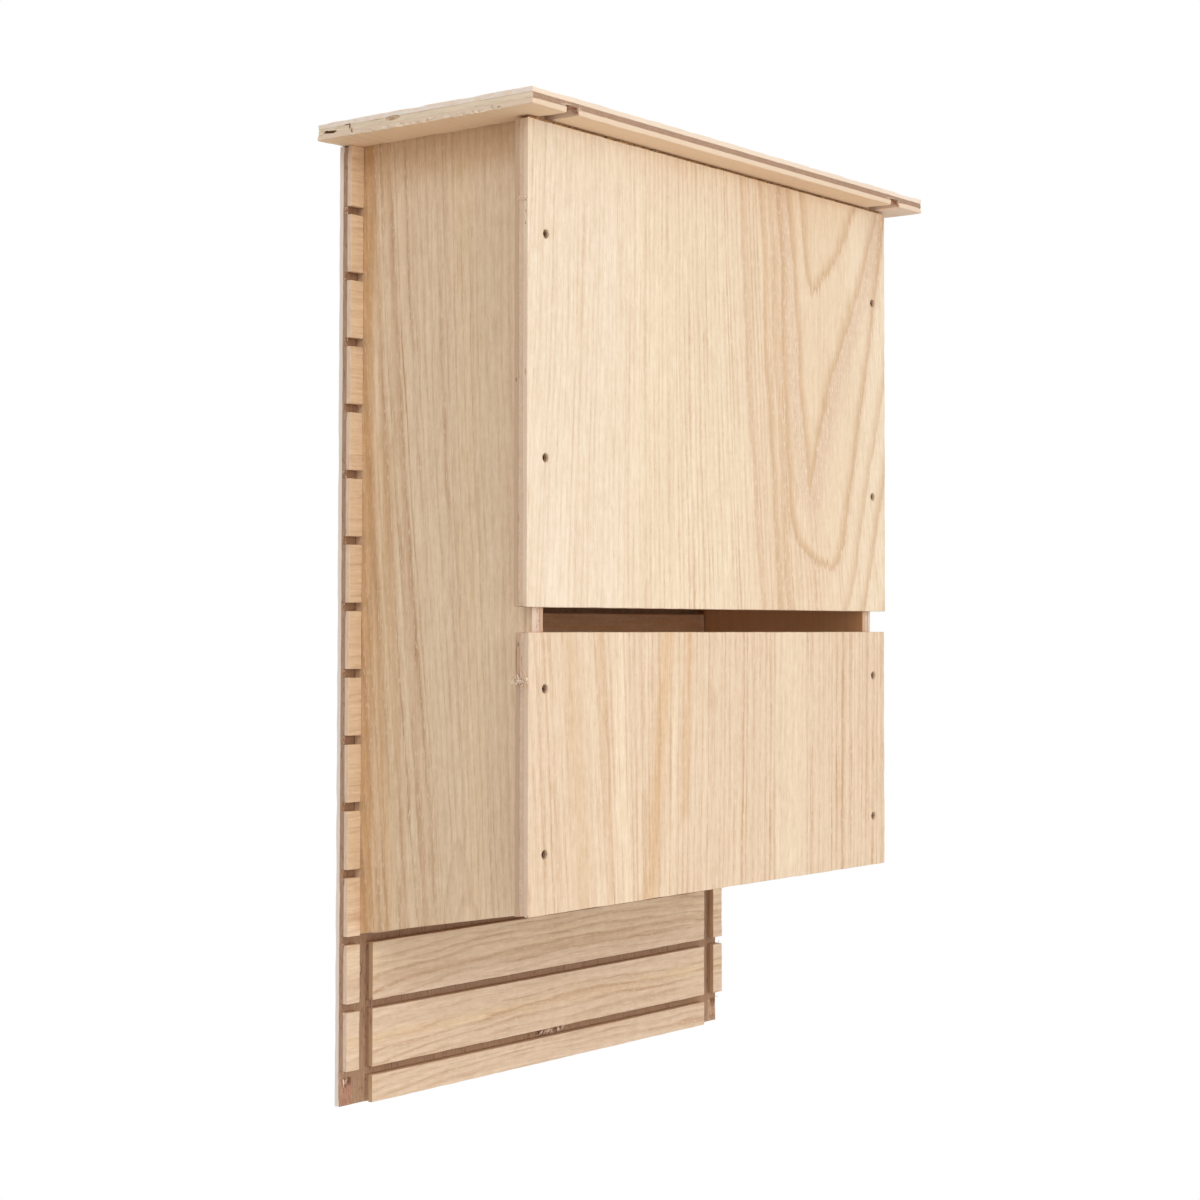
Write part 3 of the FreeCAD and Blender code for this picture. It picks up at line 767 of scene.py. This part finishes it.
def side_figure(seed):
    """Bold rings by the wall that lean out as they go down, faint ones towards the front, and two
    nested peaks low down."""
    bold_rings = plain_figure(Upright=0.0, Fan=-0.25, Lean=-0.052, Bow=-0.04, Pitch=0.006, Wander=0.009,
                              Strong=1.5, Seed=seed)
    faint_rings = plain_figure(Upright=0.06, Fan=0.8, Lean=-0.045, Bow=-0.09, Pitch=0.0062, Wander=0.009,
                               Seed=seed + 4)

    def figure(across, along):
        share = ramp(across - along * 0.05, 0.03, 0.055)
        early, line = [bold * (1.0 - share) + faint * weak * share for bold, faint, weak
                       in zip(bold_rings(across, along), faint_rings(across, along), (0.8, 0.7))]
        upside_down = along * -1.0
        stepped = speckle(join(across * 300, upside_down, seed), 3) * 0.006 + upside_down
        for shape in ((0.080, -0.396, 0.007, 0.014, 0.07, 0.006, 0.010, 0.16),
                      (0.086, -0.424, 0.007, 0.014, 0.12, 0.006, 0.010, 0.40)):
            peak = use_group(tongue, Across=across, Along=stepped, **dict(zip(tongue_shape, shape)))
            beyond = peak["Beyond"]
            hidden = ramp(beyond, -0.001, 0.001, 0.5, 1.0)
            ripe = ramp(beyond, -0.008, -0.0004, 0.0, 0.4) * ramp(beyond, 0.0, 0.0016, 1.0, 0.0)
            early = early * hidden
            line = calc("MAXIMUM", line * hidden, ripe)
        return early, line
    return figure


for side, show, seed in (("left", -1, 11.0), ("right", 1, 17.0)):
    low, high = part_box("side_panel_" + side)
    skin, count = carve_board(Vector((low.x, low.y, side_front_foot)), high, [], 0)
    for vert in skin.verts:
        if vert.co.z < side_level:
            share = (high.y - vert.co.y) / (high.y - low.y)
            foot = low.z + share * (side_front_foot - low.z)
            rise = (vert.co.z - side_front_foot) / (side_level - side_front_foot)
            vert.co.z = foot + rise * (side_level - foot)
    wear_board(skin, count, low, high, 0)
    panel = piece_from(skin, "side_panel_%s_ash" % side, plywood(
        "side ash " + side, low, high, thin=0, grain=2, show=show, figure=side_figure(seed),
        bands=[((222, 178, 130), 0.5, 0.018, 0.0, 0.013, 0.004, 0.16),
               ((206, 158, 108), 0.5, 0.0035, 0.05, 0.0012, 0.0012),
               ((246, 218, 180), 0.7, 0.006, 0.062, 0.0018, 0.0016),
               ((214, 172, 130), 0.55, 0.011, 0.066, 0.0022, 0.002),
               ((246, 219, 182), 0.7, 0.0165, 0.074, 0.0018, 0.0016),
               ((214, 172, 132), 0.5, 0.0215, 0.078, 0.0022, 0.002),
               ((244, 216, 178), 0.5, 0.0285, 0.084, 0.0018, 0.0018),
               ((242, 212, 170), 0.5, 0.080, 0.03, 0.007, 0.006),
               # This band darkens the top 36 mm of each side: painted shade under the roof's overhang.
               ((222, 182, 138), 0.6, 0.06, 0.0, 0.2, 0.003, -1.0, 0.036),
               ((212, 170, 122), 0.95, 0.0085, 0.002, 0.0046, 0.0018)],
        colours=((241, 212, 178), (223, 188, 152), (190, 147, 108), (248, 227, 198)),
        seed=seed, flecks=1.05, streaks=0.19, core=((200, 168, 138), (234, 204, 182), (200, 168, 138)),
        # Rear and inside tint the inner ply and the face inside the box warm brown: painted warm shade inside
        # the box.
        edge=(240, 216, 198), rear=(0.6, (206, 160, 116)), inside=(0.55, (196, 134, 80))))
    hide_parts("side_panel_" + side)
    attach(panel, "root")


# Fronts: two boards with upright grain, the upper one cut near the heart of the log so that its
# rings run down in long tongues. Each is dadoed over the sides and screwed at four points.
front_dado = 0.0043
front_screws = {
    "upper": ["left_1", "left_2", "right_1", "right_2"],
    "lower": ["left_3", "left_4", "right_3", "right_4"],
}

# The tongues of the upper front from the inside out, in metres from the board's top left corner:
# tip across and along, reach, rounding height and slope of the left and right legs, width of the
# porous wood outside the line, strength of that wood and of the line, and how much of the
# straight rings still shows inside.
tongues = [
    (0.282, 0.063, 0.008, 0.010, 0.10, 0.010, 0.008, 0.68, 0.005, 0.45, 0.9, 0.4),
    (0.279, 0.192, 0.003, 0.012, 0.12, -0.008, 0.020, 0.47, 0.022, 0.8, 0.95, 0.0),
    (0.305, 0.240, 0.050, 0.012, 0.06, 0.010, 0.010, 0.23, 0.006, 0.65, 1.0, 0.4),
    (0.302, 0.290, 0.051, 0.010, 0.07, 0.014, 0.010, 0.30, 0.003, 0.35, 0.7, 1.0),
    (0.302, 0.318, 0.057, 0.010, 0.075, 0.026, 0.010, 0.30, 0.003, 0.4, 0.85, 1.0),
    (0.300, 0.350, 0.069, 0.015, 0.09, 0.045, 0.020, 0.30, 0.003, 0.4, 0.65, 1.0),
]


def upper_figure(across, along):
    """Nested tongues on the right, and straight rings that fan away from them on the left."""
    ragged = speckle(join(across * 420, along * 26, 3.0), 3, 0.6) - 0.5
    lazy = speckle(join(across * 22, along * 14, 9.0), 2) - 0.5
    stepped = ragged * 0.018 + along
    moved = ragged * 0.0012 + (lazy * 0.012 + across)
    straight = plain_figure(Upright=0.1, Fan=-0.55, Pitch=0.0042, Wander=0.0055, Strong=1.25, Seed=5.0)
    quiet = ramp(across, 0.09, 0.2, 0.5, 1.0) * ramp(across, 0.28, 0.33, 1.0, 0.35)
    early, line = [rings * quiet for rings in straight(across, along)]
    for *shape, porous, early_strength, line_strength, kept in reversed(tongues):
        beyond = use_group(tongue, Across=moved, Along=stepped, **dict(zip(tongue_shape, shape)))["Beyond"]
        pores = ramp(beyond, -0.0006, 0.0006) * early_strength * ramp(beyond, porous * 0.3, porous, 1.0, 0.0)
        early = calc("MAXIMUM", early * ramp(beyond, -0.0006, 0.0006, kept, 1.0), pores)
        ripe = ramp(beyond, -0.013, -0.0004)
        ripe = ripe * ripe * ramp(beyond, -0.0002, 0.0016, 1.0, 0.0) * line_strength
        line = calc("MAXIMUM", line * ramp(beyond, -0.001, 0.002, kept, 1.0), ripe)
    return early, line


def lower_figure(across, along):
    """Rings that lean to the right on the left half, stand straight on the right, and all but fade
    out in one pale stretch."""
    moved = across - along * ramp(across, 0.06, 0.13, 0.08, -0.012)
    quiet = ramp(abs(across - 0.256), 0.012, 0.022, 0.25, 1.0) * ramp(across, 0.1, 0.28, 0.75, 1.1)
    leaning = plain_figure(Pitch=0.006, Wander=0.007, Strong=1.35, Seed=8.0)
    return [rings * quiet for rings in leaning(moved, along)]


front_looks = {
    "upper": dict(
        figure=upper_figure,
        bands=[((246, 228, 204), 0.5, 0.04, 0.0, 0.05, 0.03),
               ((238, 209, 174), 0.6, 0.27, 0.0, 0.06, 0.03)],
        colours=((246, 224, 194), (233, 203, 174), (207, 162, 117), (250, 232, 208)),
        seed=5.0, flecks=1.2, streaks=0.16, core=((232, 200, 170), (170, 134, 106), (200, 165, 135)),
        # Rear and inside tint the rear ply darker and warmer: painted warm shade on the face inside the box;
        # on the sawn left edge it darkens the rear ply too.
        edge=(234, 204, 174), pits=0.25, rear=(0.85, (206, 172, 142)), inside=(0.6, (204, 148, 98))),
    "lower": dict(
        figure=lower_figure,
        bands=[((226, 190, 150), 0.5, 0.034, 0.10, 0.006, 0.007),
               ((248, 225, 194), 0.6, 0.052, 0.09, 0.003, 0.004),
               ((224, 186, 146), 0.5, 0.062, 0.08, 0.003, 0.004),
               ((248, 225, 194), 0.8, 0.078, 0.06, 0.008, 0.006),
               ((230, 190, 146), 0.8, 0.1255, -0.11, 0.0055, 0.007),
               ((246, 222, 192), 0.8, 0.106, -0.05, 0.0025, 0.003),
               ((246, 222, 190), 0.8, 0.137, -0.07, 0.003, 0.003),
               ((226, 185, 142), 0.75, 0.147, -0.05, 0.003, 0.0045, -0.02, 0.125),
               ((243, 219, 189), 0.6, 0.254, 0.0, 0.018, 0.008),
               ((247, 227, 200), 0.7, 0.239, 0.0, 0.003, 0.003),
               ((222, 188, 155), 0.6, 0.170, 0.0, 0.007, 0.005, 0.02, 0.06)],
        colours=((238, 212, 182), (223, 190, 158), (202, 158, 116), (247, 226, 200)),
        seed=8.0, flecks=1.1, streaks=0.18, core=((228, 196, 168), (170, 134, 106), (200, 165, 135)),
        # Rear and inside tint the rear ply darker and warmer: painted warm shade on the face inside the box;
        # on the sawn left edge it darkens the rear ply too.
        edge=(230, 200, 172), pits=0.25, rear=(0.85, (202, 168, 140)), inside=(0.6, (204, 148, 98))),
}

# The left edges carry a few marks (place, half length, half width and depth of each) and patches of
# raised fibre (height up the board, count and reach), and the lower front has lost a chip at its foot.
chipped_fibre = raw_wood("chipped fibre", (246, 224, 200), (196, 160, 130), (255, 242, 226), 1)
edge_marks = {
    "upper": [
        ((-0.1851, -0.1344, -0.0932), 0.0016, 0.0004, 0.0005),
        ((-0.1851, -0.1408, -0.0893), 0.0022, 0.0003, 0.0004),
        ((-0.1851, -0.1410, 0.0040), 0.0009, 0.0004, 0.0005),
        ((-0.1851, -0.1410, -0.0020), 0.0012, 0.0003, 0.0004),
        ((-0.1851, -0.1408, -0.0085), 0.0010, 0.0004, 0.0005),
        ((-0.1851, -0.1380, 0.0052), 0.0003, 0.0044, 0.0005)],
    "lower": [
        ((-0.1835, -0.1350, -0.2364), 0.0014, 0.0006, 0.0008),
        ((-0.1835, -0.1372, -0.2450), 0.0050, 0.0004, 0.0004),
        ((-0.1835, -0.1338, -0.2455), 0.0140, 0.0005, 0.0006),
        ((-0.1835, -0.1424, -0.3822), 0.0010, 0.0009, 0.0006)],
}
edge_fibres = {
    "upper": [(0.0045, 46, (-0.0006, -0.0002, 0.0012))],
    "lower": [(-0.2572, 80, (-0.0022, -0.0004, 0.0026)), (-0.2545, 40, (-0.0016, -0.0002, -0.0018))],
}
for level in ("upper", "lower"):
    node = "front_panel_" + level
    low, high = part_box(node)
    cuts = [((near, high.y - front_dado, low.z), (far, high.y, high.z)) for near, far in dados]
    skin, count = carve_board(low, high, cuts, 1)
    wear_board(skin, count, low, high, 1)
    front = piece_from(skin, node + "_ash", plywood(
        "front ash " + level, low, high, thin=1, grain=2, show=-1, **front_looks[level]))
    spots = [middle_of(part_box("front_screw_" + screw), 1, low.y) for screw in front_screws[level]]
    sinks(front, node + "_sinks", drilled_wood, spots, sink_radius, 0.0035, sink_rim, to_front)
    for place, long, wide, depth in edge_marks[level]:
        gouge(front, node + "_mark", drilled_wood, place, (0, 0, long), (0, wide, 0), to_left, depth)
    raised = bmesh.new()
    for up, number, reach in edge_fibres[level]:
        tuft(raised, (low.x + 0.0003, low.y + 0.0004, up), (0, 0.0085, 0), number, reach, 0.7, 0.0012)
    add_skin(front, raised, chipped_fibre)
    if level == "upper":
        # Raised fibres along the top edge, under the roof: their brown is painted warm shade that fills the
        # gap between the front and the roof.
        fuzz = bmesh.new()
        tuft(fuzz, (low.x + 0.001, low.y + 0.0008, high.z - 0.0003), (high.x - low.x - 0.002, 0.0004, 0),
             1300, (0.0005, 0, 0.0015), 0.35, 0.0008)
        add_skin(front, fuzz, raw_wood("brown fibre gap shade", (214, 164, 112), (166, 116, 72), (232, 190, 144), 0))
    lips = bmesh.new()
    for spot in spots:
        for _ in range(40):
            angle = draw.uniform(0, math.tau)
            round_way = Vector((math.cos(angle), 0, math.sin(angle)))
            root = spot + round_way * (sink_radius + 0.0002) + to_wall * 0.0001
            reach = round_way * draw.uniform(0.0004, 0.0011)
            reach += Vector((0, -0.00012, draw.uniform(-0.0005, 0.0005)))
            splinter(lips, root, reach, upward.cross(reach), 0.0004, 0.00018, to_wall * 0.00005)
    add_skin(front, lips, pale_fibre)
    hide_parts(node)
    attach(front, "root")


# Roof: one level board that stands out in front and at both ends. Its dados run out through the
# front edge, where the router has torn the core.
roof_wear = 0.0006
low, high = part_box("roof_board")
cuts = [((near, low.y, low.z), (far, high.y, low.z + front_dado)) for near, far in dados]
skin, count = carve_board(low, high, cuts, 2)
wear_board(skin, count, low, high, 2, roof_wear, roof_wear)
roof = piece_from(skin, "roof_board_ash", plywood(
    "roof ash", low, high, thin=2, grain=0, show=1,
    figure=plain_figure(Upright=0.08, Lean=0.02, Bow=-0.05, Pitch=0.007, Wander=0.02, Strong=0.6, Seed=23.0),
    bands=[((244, 216, 178), 0.6, 0.04, 0.0, 0.01, 0.006),
           ((246, 210, 162), 0.6, 0.08, 0.0, 0.2, 0.006, -1.0, 0.055),
           ((250, 234, 224), 0.8, 0.08, 0.0, 0.2, 0.006, 0.352)],
    colours=((238, 209, 176), (228, 195, 161), (204, 162, 122), (246, 224, 196)),
    # The core where it looks along X and the end grain are nearly white: painted light on the roof's ends,
    # which catch more light than the sides below them.
    seed=23.0, flecks=0.9, streaks=0.1, core=((247, 226, 198), (180, 146, 122), (168, 128, 98)),
    edge=(252, 232, 212), pits=0.15, glue=0.15, ends=((254, 230, 211), (255, 251, 245)),
    rear=(0.6, (238, 206, 172))))
spots = [middle_of(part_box("roof_screw_%s_%d" % (side, number)), 2, high.z)
         for side in ("left", "right") for number in (1, 2)]
sinks(roof, "roof_sinks", drilled_wood, spots, sink_radius, 0.0026, sink_rim, upward)

# Its left end shows a gap in the core near the wall, a split that runs on through the lower ply, a
# bruise (place, half length, half height and depth of each), and chips all along the lower arris.
# Torn brown fibres hang where the dados run out.
left_end = low.x
chip_start = -0.022
chip_run = -0.118
chip_count = 22
rubbed = raw_wood("rubbed wood", (222, 190, 160), (202, 168, 138), (238, 210, 184), 1)
for deep, up, half_deep, half_up, depth, finish in (
        # The first hollow is brown torn core at the wall end, and its brown is partly painted shade of the
        # rounded corner there.
        (-0.0038, 0.0548, 0.0034, 0.0016, 0.0008, torn_core),
        (-0.0190, 0.0556, 0.0060, 0.0012, 0.0006, rubbed),
        (-0.0098, 0.0547, 0.0058, 0.0008, 0.003, bruised),
        (-0.0074, 0.0550, 0.0022, 0.0009, 0.002, bruised),
        (-0.0126, 0.0543, 0.0018, 0.0009, 0.002, dark_core),
        (-0.0258, 0.0560, 0.0007, 0.0020, 0.0008, dark_core),
        (-0.0274, 0.0532, 0.0006, 0.0022, 0.0008, torn_core),
        (-0.0240, 0.0572, 0.0024, 0.0004, 0.0008, torn_core),
        (-0.0590, 0.0562, 0.0064, 0.0018, 0.0005, rubbed),
        (-0.0582, 0.0560, 0.0030, 0.0010, 0.0008, drilled_wood)):
    gouge(roof, "roof_hollow", finish, (left_end, deep, up), (0, half_deep, 0), (0, 0, half_up), to_left,
          depth)
for k in range(chip_count):
    deep = chip_start + chip_run * (k + draw.uniform(0.1, 0.9)) / chip_count
    long = draw.uniform(0.0016, 0.0045)
    wide = draw.uniform(0.0008, 0.0024)
    gouge(roof, "roof_chip", chipped_fibre, (left_end, deep, low.z + 0.0006), (0, long, 0), (0, 0, wide),
          to_left, draw.uniform(0.0004, 0.0009))
fringe = bmesh.new()
flakes = bmesh.new()
tuft(fringe, (left_end + 0.0011, chip_start, low.z + 0.0012), (0, chip_run, 0.0004), 150,
     (0, 0.0009, -0.0013), 0.45, 0.0009)
tuft(flakes, (left_end + 0.0003, -0.03, 0.0538), (0, -0.112, 0.0004), 60,
     (-0.0002, 0.0011, -0.0006), 0.6, 0.0005)
tuft(fringe, (left_end + 0.0014, -0.1565, low.z + 0.0018), (0, 0, 0.003), 9,
     (-0.0004, -0.0008, 0.002), 0.4, 0.0008)
torn = bmesh.new()
for near, far in dados:
    for across, inward in ((near, 1), (far, -1)):
        tuft(torn, (across - inward * 0.0004, low.y + 0.0012, low.z + 0.0008),
             (0, 0.0012, front_dado - 0.0012), 16, (inward * 0.0022, 0.0002, -0.0006), 0.5, 0.0009)
    tuft(torn, (near + 0.0004, low.y + 0.0016, low.z + front_dado + 0.0003), (far - near - 0.0008, 0.001, 0),
         34, (0, 0.0003, -0.0024), 0.5, 0.0009)
for fibres, finish in ((flakes, chipped_fibre), (fringe, pale_fibre), (torn, torn_core)):
    for vert in fibres.verts:
        vert.co.x = max(vert.co.x, left_end)
        vert.co.y = max(vert.co.y, low.y)
    add_skin(roof, fibres, finish)
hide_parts("roof_board")
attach(roof, "root")


# Screws: flat-headed steel, square-driven, with a rolled thread and a dark bronze coat that has
# worn through in patches. Eight hold the fronts, six the back board and four the roof.
def screw_skin(head_radius, head_height, shank_radius, length, tip, drive_half, drive_depth, neck, turn, top):
    """A closed screw whose head looks up, with a drive recess, a bevelled head and a helical thread
    that tapers into the point, turned and set with the top of its head in place."""
    corners = 24
    angles = [math.tau * k / corners for k in range(corners)]
    core_radius = shank_radius * 0.7
    point_radius = 0.00004
    pitch = shank_radius * 0.95
    rings = []

    def level_ring(height, sizes):
        rings.append([turn @ Vector((size * math.cos(angle), size * math.sin(angle), height)) + top
                      for angle, size in zip(angles, sizes)])

    square = [drive_half / max(abs(math.cos(angle)), abs(math.sin(angle))) for angle in angles]
    level_ring(-drive_depth, square)
    level_ring(-0.0001, square)
    level_ring(0.0, [size + 0.0001 for size in square])
    for height, size in (
            (0.0, head_radius - 0.0002), (-0.0001, head_radius - 0.00005), (-0.0004, head_radius),
            (-head_height * 0.5, head_radius * 0.82), (-head_height, shank_radius), (-neck, core_radius)):
        level_ring(height, [size] * corners)
    steps = 9
    count = math.ceil((length - neck) / pitch * steps)
    for k in range(1, count):
        height = -neck - (length - neck) * k / count
        taper = min(1.0, (length + height) / tip)
        sizes = []
        for angle in angles:
            phase = (height / pitch - angle / math.tau) % 1.0
            crest = max(0.0, 1 - abs(phase - 0.5) * 3.2) * min(1.0, k / steps)
            sizes.append((core_radius + (shank_radius - core_radius) * crest) * taper + point_radius)
        level_ring(height, sizes)
    level_ring(-length, [point_radius] * corners)
    skin = bmesh.new()
    close_rings(skin, rings)
    return skin


def metal(name, base, worn, metallic, roughness, mottle):
    """Coated or plated steel: cloudy patches, fine specks and a little relief."""
    material, inputs, place = start_material(name)
    cell = node_step("TexVoronoi", dict(Scale=mottle * 2, Vector=place))[1]
    patch = speckle(place, 4, 0.6, mottle) * 0.6 + part_axes(cell)[0] * 0.6
    spots = speckle(place, 3, 0.6, mottle * 9)
    colour = tint(ramp(spots, 0.6, 0.72) * 0.4, tint(ramp(patch, 0.25, 0.85), base, worn), worn)
    inputs["Metallic"].default_value = metallic
    roughness = calc("MULTIPLY_ADD", patch, 0.25, roughness, clamp=True)
    dress(inputs, colour, roughness, 0.5, spots + patch, 0.00003)
    return material


def set_screw(node, slot, out, finish, *shape):
    """Put a screw where the frame has it, with its head facing out, and turn it by chance."""
    low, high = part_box(node)
    top = (low + high) / 2
    for axis in range(3):
        if out[axis]:
            top[axis] = high[axis] if out[axis] > 0 else low[axis]
    turn = upward.rotation_difference(out).to_matrix() @ Matrix.Rotation(draw.uniform(0, 1.5), 3, "Z")
    screw = piece_from(screw_skin(*shape, turn, top), node + "_steel", finish)
    for face in screw.data.polygons:
        face.use_smooth = True
    screw.data.set_sharp_from_angle(angle=math.radians(35))
    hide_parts(node)
    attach(screw, "root")


# A screw's numbers: radius and height of the head, radius of the shank, length, length of the point,
# half width and depth of the drive, and where the thread begins.
bronze = metal("bronze coat", (104, 80, 60), (150, 126, 104), 0.7, 0.38, 700)
board_screw = (0.0024, 0.0018, 0.0015, 0.028, 0.005, 0.00095, 0.0012, 0.007)
for level in ("upper", "lower"):
    for screw in front_screws[level]:
        set_screw("front_screw_" + screw, "screw_steel", to_front, bronze, *board_screw)
for side in ("left", "right"):
    for number in (1, 2, 3):
        set_screw("back_screw_%s_%d" % (side, number), "screw_steel", to_wall, bronze, *board_screw)
    for number in (1, 2):
        set_screw("roof_screw_%s_%d" % (side, number), "screw_steel", upward, bronze, *board_screw)


# Hangers: two stamped plates of galvanised steel, let in flush with the wall face, each with a
# keyhole for a wall screw and two countersunk holes for its own short screws.
zinc = metal("zinc coat", (172, 174, 176), (206, 208, 210), 1.0, 0.32, 260)
entry_radius = 0.005
slot_half = 0.0025
keyhole_drop = 0.011
entry_low = 0.005
screw_apart = 0.018
plate_corner = 0.006
hanger_screw = (0.0026, 0.0012, 0.0014, 0.0075, 0.002, 0.00095, 0.0009, 0.0016)
keyhole = []
for radius, start, step, count, drop in (
        (entry_radius, 120, 12.5, 25, 0), (slot_half, 0, 15, 13, keyhole_drop)):
    for k in range(count):
        angle = math.radians(start + step * k)
        keyhole.append((radius * math.cos(angle), -drop - radius * math.sin(angle)))
for side in ("left", "right"):
    low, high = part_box("hanger_plate_" + side)
    half_wide, _, half_high = [(far - near) / 2 for near, far in zip(low, high)]
    middle = middle_of((low, high), 1, high.y)
    thick = high.y - low.y
    stamped = bmesh.new()
    raise_outline(stamped, round_cornered(half_wide, half_high, plate_corner),
                  ((-thick, 0.992), (0.0002 - thick, 1), (-0.0002, 1), (0, 0.992)), face_wall, middle)
    plate = piece_from(stamped, "hanger_plate_%s_steel" % side, zinc)
    punch = bmesh.new()
    raise_outline(punch, keyhole, ((-0.003, 1), (0.001, 1)), face_wall, middle - upward * entry_low)
    cut_out(plate, punch, "keyhole", zinc)
    spots = [middle + Vector((end * screw_apart, 0, 0)) for end in (-1, 1)]
    sinks(plate, "countersinks", zinc, spots, 0.00145, 0.003, 0.0012, to_wall)
    burr = plate.modifiers.new("worn edges", "BEVEL")
    burr.width = 0.00012
    burr.segments = 2
    burr.limit_method = "ANGLE"
    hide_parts("hanger_plate_" + side)
    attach(plate, "root")
    for number in (1, 2):
        set_screw("hanger_screw_%s_%d" % (side, number), "hanger_steel", to_wall, zinc, *hanger_screw)


# Studio: a pale floor far below the box, a white room around it that is darker from below, three
# large soft lamps, and the camera of the photograph, level with the box's middle and to its left.
world = bpy.data.worlds.new("studio")
bpy.context.scene.world = world
world.use_nodes = True
nodes = world.node_tree.nodes
nodes.clear()
rays = nodes.new("ShaderNodeLightPath").outputs
seen = calc("MAXIMUM", Measure(rays["Is Camera Ray"]), Measure(rays["Is Glossy Ray"]))
seen = calc("MAXIMUM", seen, Measure(rays["Is Transmission Ray"]))
from_below = 0.15
from_above = 0.7
height = part_axes(Measure(nodes.new("ShaderNodeTexCoord").outputs["Generated"]))[2]
room = nodes.new("ShaderNodeBackground")
wire(room.inputs["Strength"], ramp(height, -0.1, 0.1, from_below, from_above))
white = nodes.new("ShaderNodeBackground")
for background in (room, white):
    background.inputs["Color"].default_value = (1, 1, 1, 1)
either = nodes.new("ShaderNodeMixShader")
for socket, source in zip(either.inputs, (seen, Measure(room.outputs[0]), Measure(white.outputs[0]))):
    wire(socket, source)
wire(nodes.new("ShaderNodeOutputWorld").inputs["Surface"], Measure(either.outputs[0]))

floor_drop = 1.1
floor_half = 2.5
pale = bpy.data.materials.new("pale floor")
pale.use_nodes = True
pale.node_tree.nodes["Principled BSDF"].inputs["Base Color"].default_value = (0.9, 0.9, 0.9, 1)
pale.node_tree.nodes["Principled BSDF"].inputs["Roughness"].default_value = 0.8
sheet = bmesh.new()
bmesh.ops.create_grid(sheet, x_segments=8, y_segments=8, size=floor_half)
floor = piece_from(sheet, "floor", pale)
floor.location = (0, 0, board_low.z - floor_drop)

middle_of_box = Vector((0, -0.08, -0.2))
for name, place, size, energy in (
        ("front lamp", (-0.15, -2.5, 0.0), 2.0, 21.5),
        ("low lamp", (-1.0, -2.2, -0.4), 1.6, 4.4),
        ("left lamp", (-2.3, -1.0, 1.3), 1.6, 13.0)):
    lamp_data = bpy.data.lights.new(name, "AREA")
    lamp_data.shape = "SQUARE"
    lamp_data.size = size
    lamp_data.energy = energy
    lamp = bpy.data.objects.new(name, lamp_data)
    bpy.context.scene.collection.objects.link(lamp)
    lamp.location = place
    lamp.rotation_euler = (middle_of_box - lamp.location).to_track_quat("-Z", "Y").to_euler()

camera_data = bpy.data.cameras.new("camera")
camera_data.sensor_width = 36.0
camera_data.lens = 69.067
camera_data.shift_x = -0.04646
camera_data.shift_y = -0.04589
camera_data.clip_start = 0.05
camera = bpy.data.objects.new("camera", camera_data)
bpy.context.scene.collection.objects.link(camera)
camera.location = (-1.13295, -0.94047, -0.22819)
azimuth, pitch, roll = [math.radians(angle) for angle in (-53.108, 2.096, 0.046)]
level_view = math.radians(90)
facing = Matrix.Rotation(azimuth, 3, "Z") @ Matrix.Rotation(level_view + pitch, 3, "X")
camera.rotation_euler = (facing @ Matrix.Rotation(roll, 3, "Z")).to_euler()
bpy.context.scene.camera = camera
bpy.context.scene.view_settings.view_transform = "Standard"
